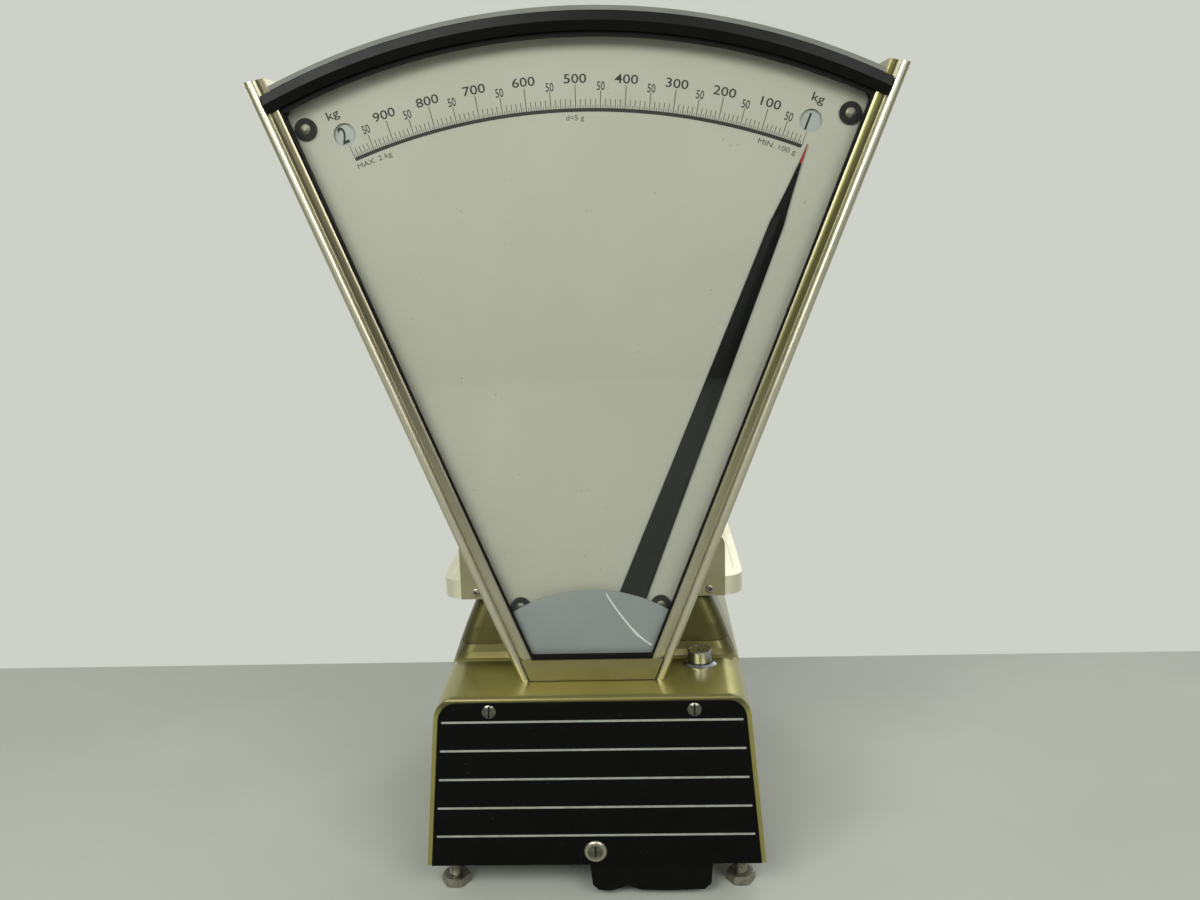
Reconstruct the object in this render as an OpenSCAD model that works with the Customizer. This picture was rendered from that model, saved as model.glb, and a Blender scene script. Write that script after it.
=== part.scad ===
// Counter scale with a fan-shaped head, two ranges of one kilogram each.
// Millimetres. X is to the right, Y to the back, Z up. The feet stand on Z = 0.
// The origin is the centre of the footprint. The reader of the front dial looks along +Y.

/* [Base] */
// Depth of the base housing from the front panel to the back wall
base_depth = 306; // [290:1:330]
// Half width of the base housing at its lower edge
base_hw = 126; // [122:1:134]
// How far each side wall leans in from its lower edge to the front ledge
side_lean = 12.5; // [8:0.5:15]
// Height of the lower edge of the housing above the floor
base_z = 28; // [26:1:30]
// Height of the front ledge above the floor
ledge_z = 161; // [158:1:164]
// Height of the tower behind the head above the floor
tower_z = 208; // [206:1:212]
// Distance from the front panel to the foot of the tower
tower_y = 77; // [77:0.5:79]
// Lean of the tower's front face over its height
tower_lean = 9; // [8:0.5:11]
// Lean of the tower's back face over its height
back_lean = 14; // [13:0.5:18]
// How far each side of the tower leans in from the ledge to its top
tower_side_lean = 21; // [17.5:0.5:25.5]
// Radius of the long upper edges of the housing
shoulder_r = 17; // [14:0.5:20]
// Radius of the upright edges of the tower
tower_r = 12; // [9:0.5:14]
// Wall thickness of the cast housing
wall = 2.5; // [2:0.1:3]
// Thickness of the base plate
plate_t = 2.5; // [2:0.1:3]
// Clearance between parts that are fitted together
fit = 0.3; // [0.2:0.05:0.4]

/* [Front panel] */
// Thickness of the front panel
panel_t = 1.5; // [1.2:0.1:2]
// Width of the housing border beside the panel
panel_border = 3.4; // [3:0.1:5]
// Radius of the panel's upper corners
panel_r = 14; // [11:0.5:16]
// Half spacing of the two upper panel screws
panel_screw_x = 74; // [68:0.5:82]
// Distance of the upper panel screws below the ledge
panel_screw_drop = 9.6; // [9:0.1:12]
// Head radius of the upper panel screws
panel_screw_r = 5.1; // [4.5:0.1:5.5]
// Height of the lower panel screw above the panel's lower edge
cup_rise = 11.5; // [10:0.5:16]
// Outer radius of the cup washer
cup_r = 8.7; // [8:0.1:9.5]
// Height of the cup washer with its screw
cup_h = 2.5; // [2:0.1:3]

/* [Feet] */
// Distance of each pair of feet from the lower edge of the side wall
foot_side = 17; // [15:1:21]
// Distance of each pair of feet from the front or back of the base
foot_inset = 24; // [22:1:28]
// Width across the flats of a foot's hexagon
foot_af = 19; // [17:0.5:19]
// Height of a foot's hexagon
foot_head_h = 7.5; // [6:0.5:8]
// Thread radius of a foot
foot_r = 5; // [4:0.25:5]
// Height of a lock nut
nut_h = 8; // [6:0.5:8.5]

/* [Zero knob] */
// Distance of the knob from the right edge of the ledge
knob_side = 32; // [27.5:0.5:35.5]
// Distance of the knob from the front panel
knob_y = 61; // [56:0.5:62]
// Radius of the knob
knob_r = 9.3; // [8:0.1:10]
// Height of the knob
knob_h = 9.2; // [8:0.1:12]
// Radius of the escutcheon under the knob
escutcheon_r = 13; // [12:0.1:14]
// Height of the escutcheon
escutcheon_h = 2; // [1.5:0.1:3]
// Radius of the spindle under the knob
spindle_r = 4; // [3:0.1:4.5]
// Length of the spindle below the ledge
spindle_len = 36; // [25:1:40]

/* [Head] */
// Distance from the front panel to the front of the head
head_y = 30; // [29:0.5:31]
// Depth of the head
head_depth = 45; // [45:0.5:45.5]
// Half width of the head where it stands on the ledge
head_hw = 54; // [53:0.5:58]
// Angle of each rail from the vertical
head_angle = 21.3; // [20.8:0.1:21.8]
// Height of the rails above the ledge
rail_h = 432; // [430:1:440]
// Depth of the pointer pivot below the ledge
pivot_drop = 18.8; // [18:0.2:20]
// Height of the arched cover's middle above the ends of the rails
arch_rise = 41.2; // [39.2:0.2:45.2]
// Thickness of the grey strip on the arched cover
strip_t = 3; // [2:0.1:3.5]
// Height of the arched cover's flanges
arch_flange = 12.5; // [11:0.5:13.5]
// Height of the head's bottom frame
lip_h = 16.6; // [14:0.2:18]
// Width of the rounded bead on a rail
bead_w = 7; // [6:0.1:7.5]
// Width of the convex band beside the bead
band_w = 7.4; // [6.5:0.1:8]
// Width of the rubber seal beside the band
seal_w = 1.8; // [1.2:0.1:2.6]
// Height of the faint ridge along the arched cover's front and back face
cover_ridge = 1.2; // [0.8:0.1:1.4]
// Height of the groove between the head's bottom frame and the ledge
lip_gap = 0.6; // [0.4:0.1:1]
// Thickness of the glass
glass_t = 2.8; // [2:0.1:2.9]

/* [Dial] */
// Distance of the dial sheet's upper edge inside the arched cover's outer face
dial_gap = 17.5; // [16.5:0.5:18]
// Distance of the dial's side edges from the outside of the rails at the dial's lower end
dial_inset = 12.6; // [12:0.2:13.4]
// Angle by which the dial's side edges run steeper than the rails
dial_slack = 0.4; // [0.2:0.05:0.6]
// Distance of the dial sheet behind the front of the head
dial_v = 13.5; // [13.4:0.1:13.8]
// Thickness of the dial sheet
dial_t = 0.8; // [0.6:0.1:0.9]
// Radius of the dial's upper corners
dial_corner_r = 6; // [4:0.5:7]
// Distance of the range windows' centres inside the dial's upper edge
window_gap = 29.5; // [28.5:0.5:30.5]
// Angle of the range windows and of the ends of the graduation
scale_angle = 20.9; // [20.5:0.1:21.2]
// Radius of a range window
window_r = 7.65; // [7:0.05:7.7]
// Height of the hub cover's peak above the ledge
hub_peak = 68.2; // [64:0.5:70]
// Radius of the hub cover's arched edge
hub_arch_r = 109.5; // [100:0.5:120]

/* [Pointer] */
// Distance of the pointer's tip inside the centres of the range windows
tip_gap = 15; // [13:0.5:17]
// Angle of the pointer from the vertical with no load
pointer_rest = 21.35; // [21.2:0.05:21.5]
// Width of the pointer at the pivot
pointer_root_w = 23.6; // [20:0.2:24]
// Width of the pointer at its shoulder
pointer_shoulder_w = 10; // [8:0.2:11]
// Length of the pointer's fine tip beyond its shoulder
tip_len = 55.5; // [50:0.5:62]
// Height of the fold along the pointer
pointer_fold = 2; // [1.5:0.1:2.2]
// Sheet thickness of the pointer
pointer_t = 0.6; // [0.5:0.05:0.8]
// Radius of the pointer axle
axle_r = 3; // [2.5:0.1:3.5]
// Distance of the pendulum weight from the pivot
bob_at = 75; // [70:1:78]
// Radius of the pendulum weight
bob_r = 18; // [14:0.5:19]
// Thickness of the pendulum weight
bob_t = 13; // [10:0.5:14]

/* [Beam and carrier] */
// Travel of the pan carrier over one range
carrier_travel = 12; // [10:0.5:12.5]
// Distance from the front panel to the beam's fulcrum
fulcrum_y = 120; // [119:0.5:122]
// Height of the fulcrum above the floor
fulcrum_z = 100; // [99:0.5:102]
// Length of the beam's arm under the carrier
rear_arm = 70; // [68:0.5:72]
// Height of the check link's pivot above the floor
check_z = 58; // [56:0.5:60]
// Half width of the beam
beam_hw = 6; // [5:0.25:7]
// Depth of the beam from top to bottom
beam_h = 14; // [12:0.5:14]
// Half width of the carrier tray
tray_hw = 117; // [113:0.5:121]
// Depth of the carrier tray from front to back
tray_depth = 218; // [205:1:222]
// Height of the tray's seat above the tower
tray_rise = 15.5; // [15:0.5:17]
// Height of the tray's skirt
skirt_h = 15; // [13:0.5:15]
// Radius of the tray's upright corners
tray_r = 16; // [12:0.5:20]
// Sheet thickness of the tray
tray_t = 1.5; // [1.2:0.1:2]
// Half width of the upstand plate
upstand_hw = 102.5; // [95:0.5:106]
// Height of the upstand plate
upstand_h = 49; // [44:0.5:54]
// Radius of the carrier post
post_r = 7; // [6:0.5:8]

/* [Range change] */
// Travel of the range handle to the left
range_travel = 30; // [26:1:31]
// Width of the range handle
handle_w = 91; // [84:1:94]
// Distance of the handle's middle from the right front foot
handle_side = 68; // [66:0.5:70]
// Height of the range handle
handle_h = 22; // [20:0.5:22]
// Depth of the range handle
handle_d = 21; // [18:0.5:22]
// Rise of the number plates when the range is changed
plate_rise = 15.6; // [15.5:0.1:15.8]
// Drop of the range weight when the range is changed
weight_drop = 6; // [5:0.5:6]
// Width of the range weight
weight_w = 90; // [80:1:92]
// Depth of the range weight
weight_d = 24; // [20:1:26]
// Height of the range weight
weight_h = 30; // [24:1:31]

/* [Hidden] */

curve_fn = 96;
arc_fn = 240;
hull_fn = 32;

// The lower panel screw stands furthest forward and the back wall furthest back.
front_y = -(base_depth - cup_h) / 2;
ledge_hw = base_hw - side_lean;
tower_hw = ledge_hw - tower_side_lean;
foot_x = base_hw - foot_side;
handle_x = foot_x - handle_side;
knob_x = ledge_hw - knob_side;
pivot_z = ledge_z - pivot_drop;
arch_r = pivot_drop + rail_h + arch_rise;
dial_r = arch_r - dial_gap;
window_at = dial_r - window_gap;
pointer_len = window_at - tip_gap;
pointer_shoulder = pointer_len - tip_len;
tan_head = tan(head_angle);
cos_head = cos(head_angle);
head_mid = head_y + head_depth / 2;
body_slope = (base_hw - ledge_hw) / (ledge_z - base_z);
wall_run = wall * sqrt(1 + body_slope * body_slope);
inner_y = panel_t + wall;
plate_screw_x = foot_x - 14;
plate_screw_inset = inner_y + 3;
plate_screw_r = 2;
plate_screw_head = [4, 2];
plate_screw_len = 14;
slot_w = 1.2;
run_fit = 0.04;
press_fit = 0.02;

// Depths inside the head, measured from its front and mirrored for its back
flange_v = 4.2;
glass_v = flange_v + fit;
rib_v = glass_v + glass_t + fit;
rib_t = 1.2;
hub_v = rib_v + 0.4;
hub_t = 0.8;
pointer_v = hub_v + hub_t + 0.9;
frame_t = 0.8;
number_v = dial_v + dial_t + frame_t + 0.4;
number_t = 0.8;
seal_inset = bead_w + band_w;
rail_wall = 2.5;
cover_t = 1.3;
washer_r = 7.6;
washer_t = 1.5;
dial_screw_r = 3.5;
dial_shank_r = 1.5;
// Places of the dial screws to the side of the centre line and above the ledge
upper_screw_z = rail_h - 31;
lower_screw_z = 54;
upper_screw_x = rail_half(ledge_z + upper_screw_z) - 25.3;
lower_screw_x = rail_half(ledge_z + lower_screw_z) - 23;
upper_screw = [upper_screw_x, upper_screw_z];
lower_screw = [lower_screw_x, lower_screw_z];

// The linkage is drawn with no load, which is half a sweep away from its middle
sweep = pointer_rest + scale_angle;
link_y = head_mid + 4.6;
front_arm = fulcrum_y - link_y;
beam_tilt = asin(carrier_travel / 2 / rear_arm);
beam_front_travel = carrier_travel * front_arm / rear_arm;
crank_r = beam_front_travel / 2 / sin(sweep / 2);
crank_pin_r = 2;
// Hanging plates of the axle bracket, before and behind the middle of the head
hanger_t = 2.5;
hanger_hw = 44;
hanger_flange = 6;
hanger_front = head_mid - 9.5;
hanger_back = head_mid + 7;
bush_r = 6;
link_x = crank_r * (1 + cos(pointer_rest)) / 2;
dashpot_at = 32;
dashpot_r = 16;
dashpot_top = 78;
piston_z = 50;
piston_t = 3;
piston_rod_r = 2;
dashpot_travel = carrier_travel * dashpot_at / rear_arm;
floor_z = base_z + plate_t;
post_y = fulcrum_y + rear_arm;
knife_z = fulcrum_z + carrier_travel / 2;
check_pin_z = check_z + carrier_travel / 2;
knife_r = 3;
front_knife_half = 22;
stand_x = 14;
stand_w = 9;
stand_d = 16;
cheek_t = 1.9;
cheek_h = 7;
bearing_x = stand_x + cheek_t + 0.1;
bearing_w = front_knife_half - bearing_x;
bearing_size = 10;
check_pin_r = 2.5;
knife_rise = knife_r * 0.94;
fork_gap = beam_hw + 4;
fork_t = 3;
check_x = 24.5;
check_t = 3;
tray_z = tower_z + tray_rise;
tray_y = head_y + head_depth + 6;
post_opening_r = 34;
post_flange_r = 28;

slide_t = 2;
slide_z = floor_z + fit;
cam_t = 3;
indicator_x = 30;
indicator_y = head_mid + 4.4;
guide_x = [-8, 52];
guide_y = 38;
guide_r = 3;
guide_stem_r = 2;
guide_head = [5.5, 2];
indicator_r = 2;
cam_foot_z = 52;
roller_r = 4;
roller_w = 5.6;
lifter_x = 70;
lifter_y = post_y + 22;
lifter_r = 3;
lifter_pin_r = 3.5;
weight_cam_z = 60;
guide_arm_z = weight_cam_z + 26;
guide_arm_w = 14;
guide_foot = 40;
weight_at = rear_arm + 22;
beam_back = weight_at + 6;
weight_z = fulcrum_z + weight_at * sin(beam_tilt) + beam_h / 2 / cos(beam_tilt) + 0.6 + weight_drop;
window_x = window_at * sin(scale_angle);
window_z = pivot_z + window_at * cos(scale_angle);

function body_half(z) = base_hw - (z - base_z) * body_slope;
function rail_half(z) = head_hw + (z - ledge_z) * tan_head;
// Point where a line meets a circle about the pivot, seen from the pivot. The line leans by the
// angle a from the vertical and passes the pivot at the distance d.
function line_meets(d, a, r) =
    let (s = sqrt(r * r - d * d))
    [d * cos(a) + s * sin(a), s * cos(a) - d * sin(a)];

// Extrudes an outline in X and Z along Y, from a distance behind the front panel.
module along_y(y, d) {
    translate([0, front_y + y + d, 0]) rotate([90, 0, 0]) linear_extrude(height = d) children();
}

// Extrudes an outline in Y and Z along X.
module along_x(x, w) {
    translate([x, front_y, 0]) rotate([90, 0, 90]) linear_extrude(height = w) children();
}

module rod_y(x, y, z, d, r, fn = 48) {
    translate([x, front_y + y + d, z]) rotate([90, 0, 0]) cylinder(h = d, r = r, $fn = fn);
}

module rod_x(x, y, z, w, r, fn = 48) {
    translate([x, front_y + y, z]) rotate([0, 90, 0]) cylinder(h = w, r = r, $fn = fn);
}

module rod_z(x, y, z, h, r, fn = 48) {
    translate([x, front_y + y, z]) cylinder(h = h, r = r, $fn = fn);
}

module block(x0, x1, y0, y1, z0, z1) {
    translate([x0, front_y + y0, z0]) cube([x1 - x0, y1 - y0, z1 - z0]);
}

// Repeats the child for the front and the back of the head.
module both_faces() {
    children();
    translate([0, 2 * (front_y + head_mid), 0]) mirror([0, 1, 0]) children();
}

module both_sides() {
    children();
    mirror([1, 0, 0]) children();
}

module four_corners(x, inset) {
    for (sx = [-1, 1], y = [inset, base_depth - inset]) translate([sx * x, front_y + y, 0]) children();
}

// A trapezium with a rounded upper corner on each side.
module shouldered(hw0, z0, hw1, z1, r) {
    slope = (hw0 - hw1) / (z1 - z0);
    stretch = sqrt(1 + slope * slope);
    zc = z1 - r;
    xc = hw0 - (zc - z0) * slope - r * stretch;
    side = [xc + r / stretch, zc + r * slope / stretch];
    polygon([[-hw0, z0], [hw0, z0], side, [xc, z1], [-xc, z1], [-side[0], side[1]]]);
    for (sx = [-1, 1]) translate([sx * xc, zc]) circle(r = r, $fn = curve_fn);
}

// The V of the head, parallel to the rails and closed by an arc about the pivot.
module head_v(inset, z0, r) {
    z1 = pivot_z + r;
    run = inset / cos_head;
    x0 = rail_half(z0) - run;
    x1 = rail_half(z1) - run;
    intersection() {
        polygon([[-x0, z0], [x0, z0], [x1, z1], [-x1, z1]]);
        translate([0, pivot_z]) circle(r = r, $fn = arc_fn);
    }
}

module slab(hw, y0, y1, z, r) {
    for (sx = [-1, 1], y = [y0 + r, y1 - r])
        translate([sx * (hw - r), front_y + y, z]) cylinder(h = 0.2, r = r, $fn = hull_fn);
}

// Slots and holes in the ledge that the pointers, the indicator rod and the head's screws pass.
module pointer_slot(z0, z1) {
    block(-28, indicator_x + 6, head_y + 7.5, head_y + head_depth - 7.5, z0, z1);
}

// BASE

module tower_outer() {
    back = base_depth;
    low = ledge_z - 31;
    high = ledge_z - 11;
    mid = (ledge_z + tower_z) / 2;
    hull() {
        slab(body_half(low), tower_y + 3, back, low, tower_r);
        slab(body_half(high), tower_y + 1, back, high, tower_r);
        slab(ledge_hw - 5, tower_y, back, ledge_z, tower_r);
        slab((ledge_hw - 5 + tower_hw) / 2 + 1, tower_y + tower_lean / 2, back - back_lean / 2, mid,
             tower_r);
        slab(tower_hw, tower_y + tower_lean, back - back_lean, tower_z - 3, tower_r);
        slab(tower_hw - 3, tower_y + tower_lean + 3, back - back_lean - 3, tower_z - 0.2, tower_r - 2);
    }
    // The foot of the tower runs out onto the ledge in a hollow curve
    flare = [[9, -1.5, 1.6], [5.2, 1.6, 1.2], [2.2, 5.5, 0.6], [0.4, 11, 0]];
    for (i = [0 : 2]) hull() {
        slab(ledge_hw - 5 + flare[i][2] - max(flare[i][1], 0) * 0.34, tower_y - flare[i][0],
             ledge_z - 21, ledge_z + flare[i][1], tower_r);
        slab(ledge_hw - 5 + flare[i + 1][2] - flare[i + 1][1] * 0.34, tower_y - flare[i + 1][0],
             ledge_z - 21, ledge_z + flare[i + 1][1], tower_r);
    }
}

module body_profile() {
    r = 4;
    top = ledge_z;
    polygon([[panel_t, base_z], [base_depth, base_z], [base_depth, top], [panel_t + r, top],
             [panel_t, top - r]]);
    translate([panel_t + r, top - r]) circle(r = r, $fn = curve_fn);
}

module base_housing() {
    color("#a8a070") difference() {
        union() {
            intersection() {
                along_y(panel_t, base_depth - panel_t)
                    shouldered(base_hw, base_z, ledge_hw, ledge_z, shoulder_r);
                along_x(-base_hw, 2 * base_hw) body_profile();
            }
            tower_outer();
        }
        difference() {
            along_y(inner_y, base_depth - wall - inner_y)
                shouldered(base_hw - wall_run + body_slope, base_z - 1, ledge_hw - wall_run,
                           ledge_z - wall, shoulder_r - wall);
            // Bosses for the base plate screws stand on the front and back walls
            four_corners(plate_screw_x, plate_screw_inset) translate([0, 0, floor_z])
                cylinder(h = 18, r = 5.5, $fn = 48);
        }
        intersection() {
            along_y(tower_y, base_depth - wall - tower_y)
                polygon([[-(ledge_hw - 9), ledge_z - 20], [ledge_hw - 9, ledge_z - 20],
                         [tower_hw - 6, tower_z - wall], [-(tower_hw - 6), tower_z - wall]]);
            along_x(-base_hw, 2 * base_hw)
                polygon([[tower_y + wall + 2, ledge_z - 20], [base_depth - wall, ledge_z - 20],
                         [base_depth - wall, ledge_z - wall],
                         [base_depth - back_lean - wall - 1, tower_z - wall],
                         [tower_y + tower_lean + wall + 1, tower_z - wall],
                         [tower_y + wall + 2, ledge_z]]);
        }
        // Level seats for the head and for the knob's escutcheon in the hollow curve
        block(-head_hw - 1, head_hw + 1, head_y - 1, head_y + head_depth + 0.6, ledge_z, ledge_z + 20);
        rod_z(knob_x, knob_y, ledge_z, 20, escutcheon_r + fit, 96);
        pointer_slot(ledge_z - wall - 1, ledge_z + 1);
        rod_z(0, post_y, tower_z - wall - 1, wall + 2, post_opening_r);
        rod_z(knob_x, knob_y, ledge_z - wall - 1, wall + 2, spindle_r + run_fit);
        both_sides() rod_y(panel_screw_x, panel_t - 1, ledge_z - panel_screw_drop, wall + 2, 2.05);
        rod_y(0, panel_t - 1, base_z + cup_rise, wall + 2, 2.55);
        four_corners(plate_screw_x, plate_screw_inset) translate([0, 0, floor_z - 1])
            cylinder(h = 16, r = plate_screw_r + run_fit, $fn = 48);
    }
}

module base_plate() {
    hw = body_half(floor_z) - wall_run - fit;
    color("#6f7270") difference() {
        block(-hw, hw, inner_y + fit, base_depth - wall - fit, base_z, floor_z);
        four_corners(foot_x, foot_inset) translate([0, 0, base_z - 1])
            cylinder(h = plate_t + 2, r = foot_r + run_fit, $fn = 48);
        four_corners(plate_screw_x, plate_screw_inset) translate([0, 0, base_z - 1])
            cylinder(h = plate_t + 2, r = plate_screw_r + 0.2, $fn = 48);
        // Slot for the tab that joins the range handle to its slide
        block(handle_x - range_travel - 12, handle_x + 12, 16, 22, base_z - 1, floor_z + 1);
        for (x = guide_x) rod_z(x, guide_y, base_z - 1, plate_t + 2, guide_stem_r + run_fit);
    }
}

module base_plate_screws() {
    r = plate_screw_head[0];
    h = plate_screw_head[1];
    color("#b9bab8") four_corners(plate_screw_x, plate_screw_inset) translate([0, 0, base_z - h])
        difference() {
            union() {
                cylinder(h = h, r = r, $fn = 48);
                cylinder(h = plate_screw_len, r = plate_screw_r, $fn = 48);
            }
            translate([-r - 1, -slot_w / 2, -h / 2]) cube([2 * r + 2, slot_w, h]);
        }
}

module front_panel() {
    top = ledge_z - 3.5;
    color("#1b1a18") difference() {
        along_y(0, panel_t) shouldered(base_hw - panel_border, base_z + 0.2,
            body_half(top) - panel_border, top, panel_r);
        both_sides() rod_y(panel_screw_x, -1, ledge_z - panel_screw_drop, panel_t + 2, 2.2);
        rod_y(0, -1, base_z + cup_rise, panel_t + 2, 2.7);
    }
}

module panel_screws() {
    r = panel_screw_r;
    color("#b8b5ab") both_sides()
        translate([panel_screw_x, front_y, ledge_z - panel_screw_drop]) rotate([90, 0, 0])
        difference() {
            union() {
                rotate_extrude($fn = 64) intersection() {
                    square([r, 2.2]);
                    translate([0, 2.2 - 9]) circle(r = 9, $fn = 96);
                }
                translate([0, 0, -9]) cylinder(h = 10, r = 2, $fn = 48);
            }
            translate([-slot_w / 2, -r - 1, 1.1]) cube([slot_w, 2 * r + 2, 2]);
        }
}

module cup_washer() {
    color("#b4b1a6") translate([0, front_y, base_z + cup_rise]) rotate([90, 0, 0])
        rotate_extrude($fn = 96) {
            rim = cup_h - 0.3;
            polygon([[2.8, 0], [cup_r - rim, 0], [cup_r - rim, rim], [5.5, rim], [5.3, 1.3], [2.8, 0.4]]);
            intersection() {
                translate([cup_r - rim, 0]) circle(r = rim, $fn = curve_fn);
                translate([cup_r - rim - 0.5, 0]) square([rim + 1, rim + 1]);
            }
        }
}

module cup_washer_screw() {
    r = 5.2;
    color("#a39f90") translate([0, front_y, base_z + cup_rise]) rotate([90, 0, 0])
        difference() {
            rotate_extrude($fn = 64) intersection() {
                polygon([[0, -9], [2.5, -9], [2.5, 0.75], [r, 1.6], [r, cup_h], [0, cup_h]]);
                translate([0, cup_h - 14]) circle(r = 14, $fn = 128);
            }
            translate([-slot_w / 2, -r, cup_h - 1.1]) cube([slot_w, 2 * r, 2]);
        }
}

module foot() {
    color("#9c9a90") {
        intersection() {
            cylinder(h = foot_head_h, r = foot_af / 2 / cos(30), $fn = 6);
            union() {
                cylinder(h = 1.2, r1 = foot_af / 2 - 0.4, r2 = foot_af / 2 + 1.4, $fn = 96);
                translate([0, 0, 1.2]) cylinder(h = foot_head_h, r = foot_af / 2 + 1.4, $fn = 96);
            }
        }
        cylinder(h = floor_z + nut_h + 4, r = foot_r, $fn = 48);
    }
}

module foot_at(sx, y) {
    translate([sx * foot_x, front_y + y, 0]) foot();
}

module foot_front_left() { foot_at(-1, foot_inset); }
module foot_front_right() { foot_at(1, foot_inset); }
module foot_rear_left() { foot_at(-1, base_depth - foot_inset); }
module foot_rear_right() { foot_at(1, base_depth - foot_inset); }

module foot_lock_nuts() {
    color("#a9a79d") four_corners(foot_x, foot_inset) translate([0, 0, floor_z]) difference() {
        cylinder(h = nut_h, r = 17 / 2 / cos(30), $fn = 6);
        translate([0, 0, -1]) cylinder(h = nut_h + 2, r = foot_r + run_fit, $fn = 48);
    }
}

module knob_escutcheon() {
    color("#c6c3b8") translate([knob_x, front_y + knob_y, ledge_z]) rotate_extrude($fn = 96)
        polygon([[spindle_r + run_fit, 0], [escutcheon_r, 0], [escutcheon_r, 0.5],
                 [escutcheon_r - 2.4, escutcheon_h], [spindle_r + run_fit, escutcheon_h]]);
}

module zero_knob() {
    z0 = ledge_z + escutcheon_h + fit;
    color("#c9c6bd") translate([knob_x, front_y + knob_y, z0]) rotate_extrude($fn = 96)
        difference() {
            polygon([[0, 0], [knob_r - 0.3, 0], [knob_r, 0.3], [knob_r, knob_h - 0.7],
                     [knob_r - 0.7, knob_h], [knob_r - 1.6, knob_h], [knob_r - 2, knob_h - 0.3],
                     [0, knob_h - 0.3]]);
            square([spindle_r + press_fit, knob_h - 3]);
        }
}

module zero_spindle() {
    color("#b5b3aa") {
        rod_z(knob_x, knob_y, ledge_z - spindle_len, spindle_len + escutcheon_h + knob_h - 3, spindle_r);
        rod_z(knob_x, knob_y, ledge_z - wall - 5, 5 - fit, spindle_r + 2.5);
        rod_z(knob_x, knob_y, ledge_z - spindle_len - 3, 4, spindle_r + 5);
    }
}

// HEAD

// Section of a rail: u runs inward from its outer face and v back from the head's front.
module rail_face() {
    band_mid = bead_w + 0.6 + band_w / 2 - 0.3;
    intersection() {
        translate([bead_w / 2, bead_w / 2]) circle(r = bead_w / 2, $fn = curve_fn);
        square([bead_w, flange_v]);
    }
    translate([0, bead_w / 2]) square([bead_w, flange_v - bead_w / 2]);
    translate([0, bead_w / 2]) square([rail_wall, head_depth / 2]);
    translate([rail_wall, flange_v - 0.7]) square([seal_inset - rail_wall, 0.7]);
    intersection() {
        translate([band_mid, 7.5]) circle(r = 6, $fn = curve_fn);
        translate([bead_w + 0.6, 0]) square([band_w - 0.6, flange_v]);
    }
    translate([rail_wall, rib_v]) square([6.5, rib_t]);
}

module rail_section() {
    rail_face();
    translate([0, head_depth]) mirror([0, 1]) rail_face();
}

module rail_right() {
    reach = rail_h / cos_head;
    top_z = ledge_z + rail_h;
    color("#c9c3a0") difference() {
        translate([head_hw, front_y + head_y, ledge_z]) rotate([0, head_angle, 0])
            mirror([1, 0, 0]) {
                translate([0, 0, -30]) linear_extrude(height = reach + 60) rail_section();
                // The rail's upper end is closed beside the arched cover
                translate([0, 2, reach - 14]) cube([seal_inset, head_depth - 4, 40]);
            }
        block(0, 2 * head_hw, 0, base_depth, 0, ledge_z);
        // The upper end is cut off a little steeper than level
        translate([rail_half(top_z) - 4, front_y, top_z]) rotate([0, 12, 0])
            translate([-60, 0, 0]) cube([120, base_depth, 80]);
        // The bottom frame takes the place of the flanges
        both_faces() along_y(head_y - 1, flange_v + 1.2)
            polygon([[0, ledge_z - 1], [rail_half(ledge_z - 1) - (bead_w + 0.05) / cos_head, ledge_z - 1],
                     [rail_half(ledge_z + lip_h) - (bead_w + 0.05) / cos_head, ledge_z + lip_h + 0.1],
                     [0, ledge_z + lip_h + 0.1]]);
        both_faces() along_y(head_y - 1, rib_v + rib_t + 1.2)
            translate([0, ledge_z - 1]) square([rail_half(ledge_z) - 9, 3.2]);
    }
}

module rail_left() { mirror([1, 0, 0]) rail_right(); }

module head_bottom_frame() {
    lip_t = 1.6;
    color("#c4be9c") difference() {
        union() {
            both_faces() along_y(head_y, lip_t) difference() {
                head_v(bead_w + 0.2, ledge_z + lip_gap, arch_r);
                translate([-arch_r, ledge_z + lip_h]) square([2 * arch_r, arch_r]);
            }
            block(-(rail_half(ledge_z) - 9.5), rail_half(ledge_z) - 9.5, head_y + lip_t - 0.2,
                  head_y + head_depth - lip_t + 0.2, ledge_z, ledge_z + 2);
        }
        pointer_slot(ledge_z - 1, ledge_z + 3);
    }
}

module arch(r0, r1, inset) {
    difference() {
        head_v(inset, ledge_z + lip_h, r1);
        translate([0, pivot_z]) circle(r = r0, $fn = arc_fn);
    }
}

// The visible face of the cover, turned about the pivot from a section with a faint ridge.
module cover_face(r0, r1) {
    rm = (r0 + r1) / 2;
    intersection() {
        translate([0, front_y + head_y + 0.1 + cover_t, pivot_z]) rotate([90, 0, 0])
            rotate_extrude($fn = arc_fn)
                polygon([[r0, 0], [r1, 0], [r1, cover_t], [rm, cover_t + cover_ridge], [r0, cover_t]]);
        along_y(0, head_mid) head_v(bead_w + 0.2, ledge_z + lip_h, arch_r);
    }
}

module top_cover() {
    r1 = arch_r - strip_t;
    color("#1c1c1b") {
        both_faces() cover_face(r1 - arch_flange, r1);
        along_y(head_y + 0.1, head_depth - 0.2) arch(r1 - 2.2, r1, seal_inset + 0.2);
    }
}

module top_strip() {
    color("#b4b6b5") along_y(head_y - 0.3, head_depth + 0.6)
        arch(arch_r - strip_t, arch_r, seal_inset + 0.2);
}

module glass() {
    along_y(head_y + glass_v, glass_t) head_v(rail_wall + 0.5, ledge_z + 2.3, arch_r - strip_t - 2.5);
}

module front_glass() { color("#dfe8e4", 0.3) glass(); }
module rear_glass() { color("#dfe8e4", 0.3) both_faces_rear() glass(); }

// Mirrors the child to the back of the head.
module both_faces_rear() {
    translate([0, 2 * (front_y + head_mid), 0]) mirror([0, 1, 0]) children();
}

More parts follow.
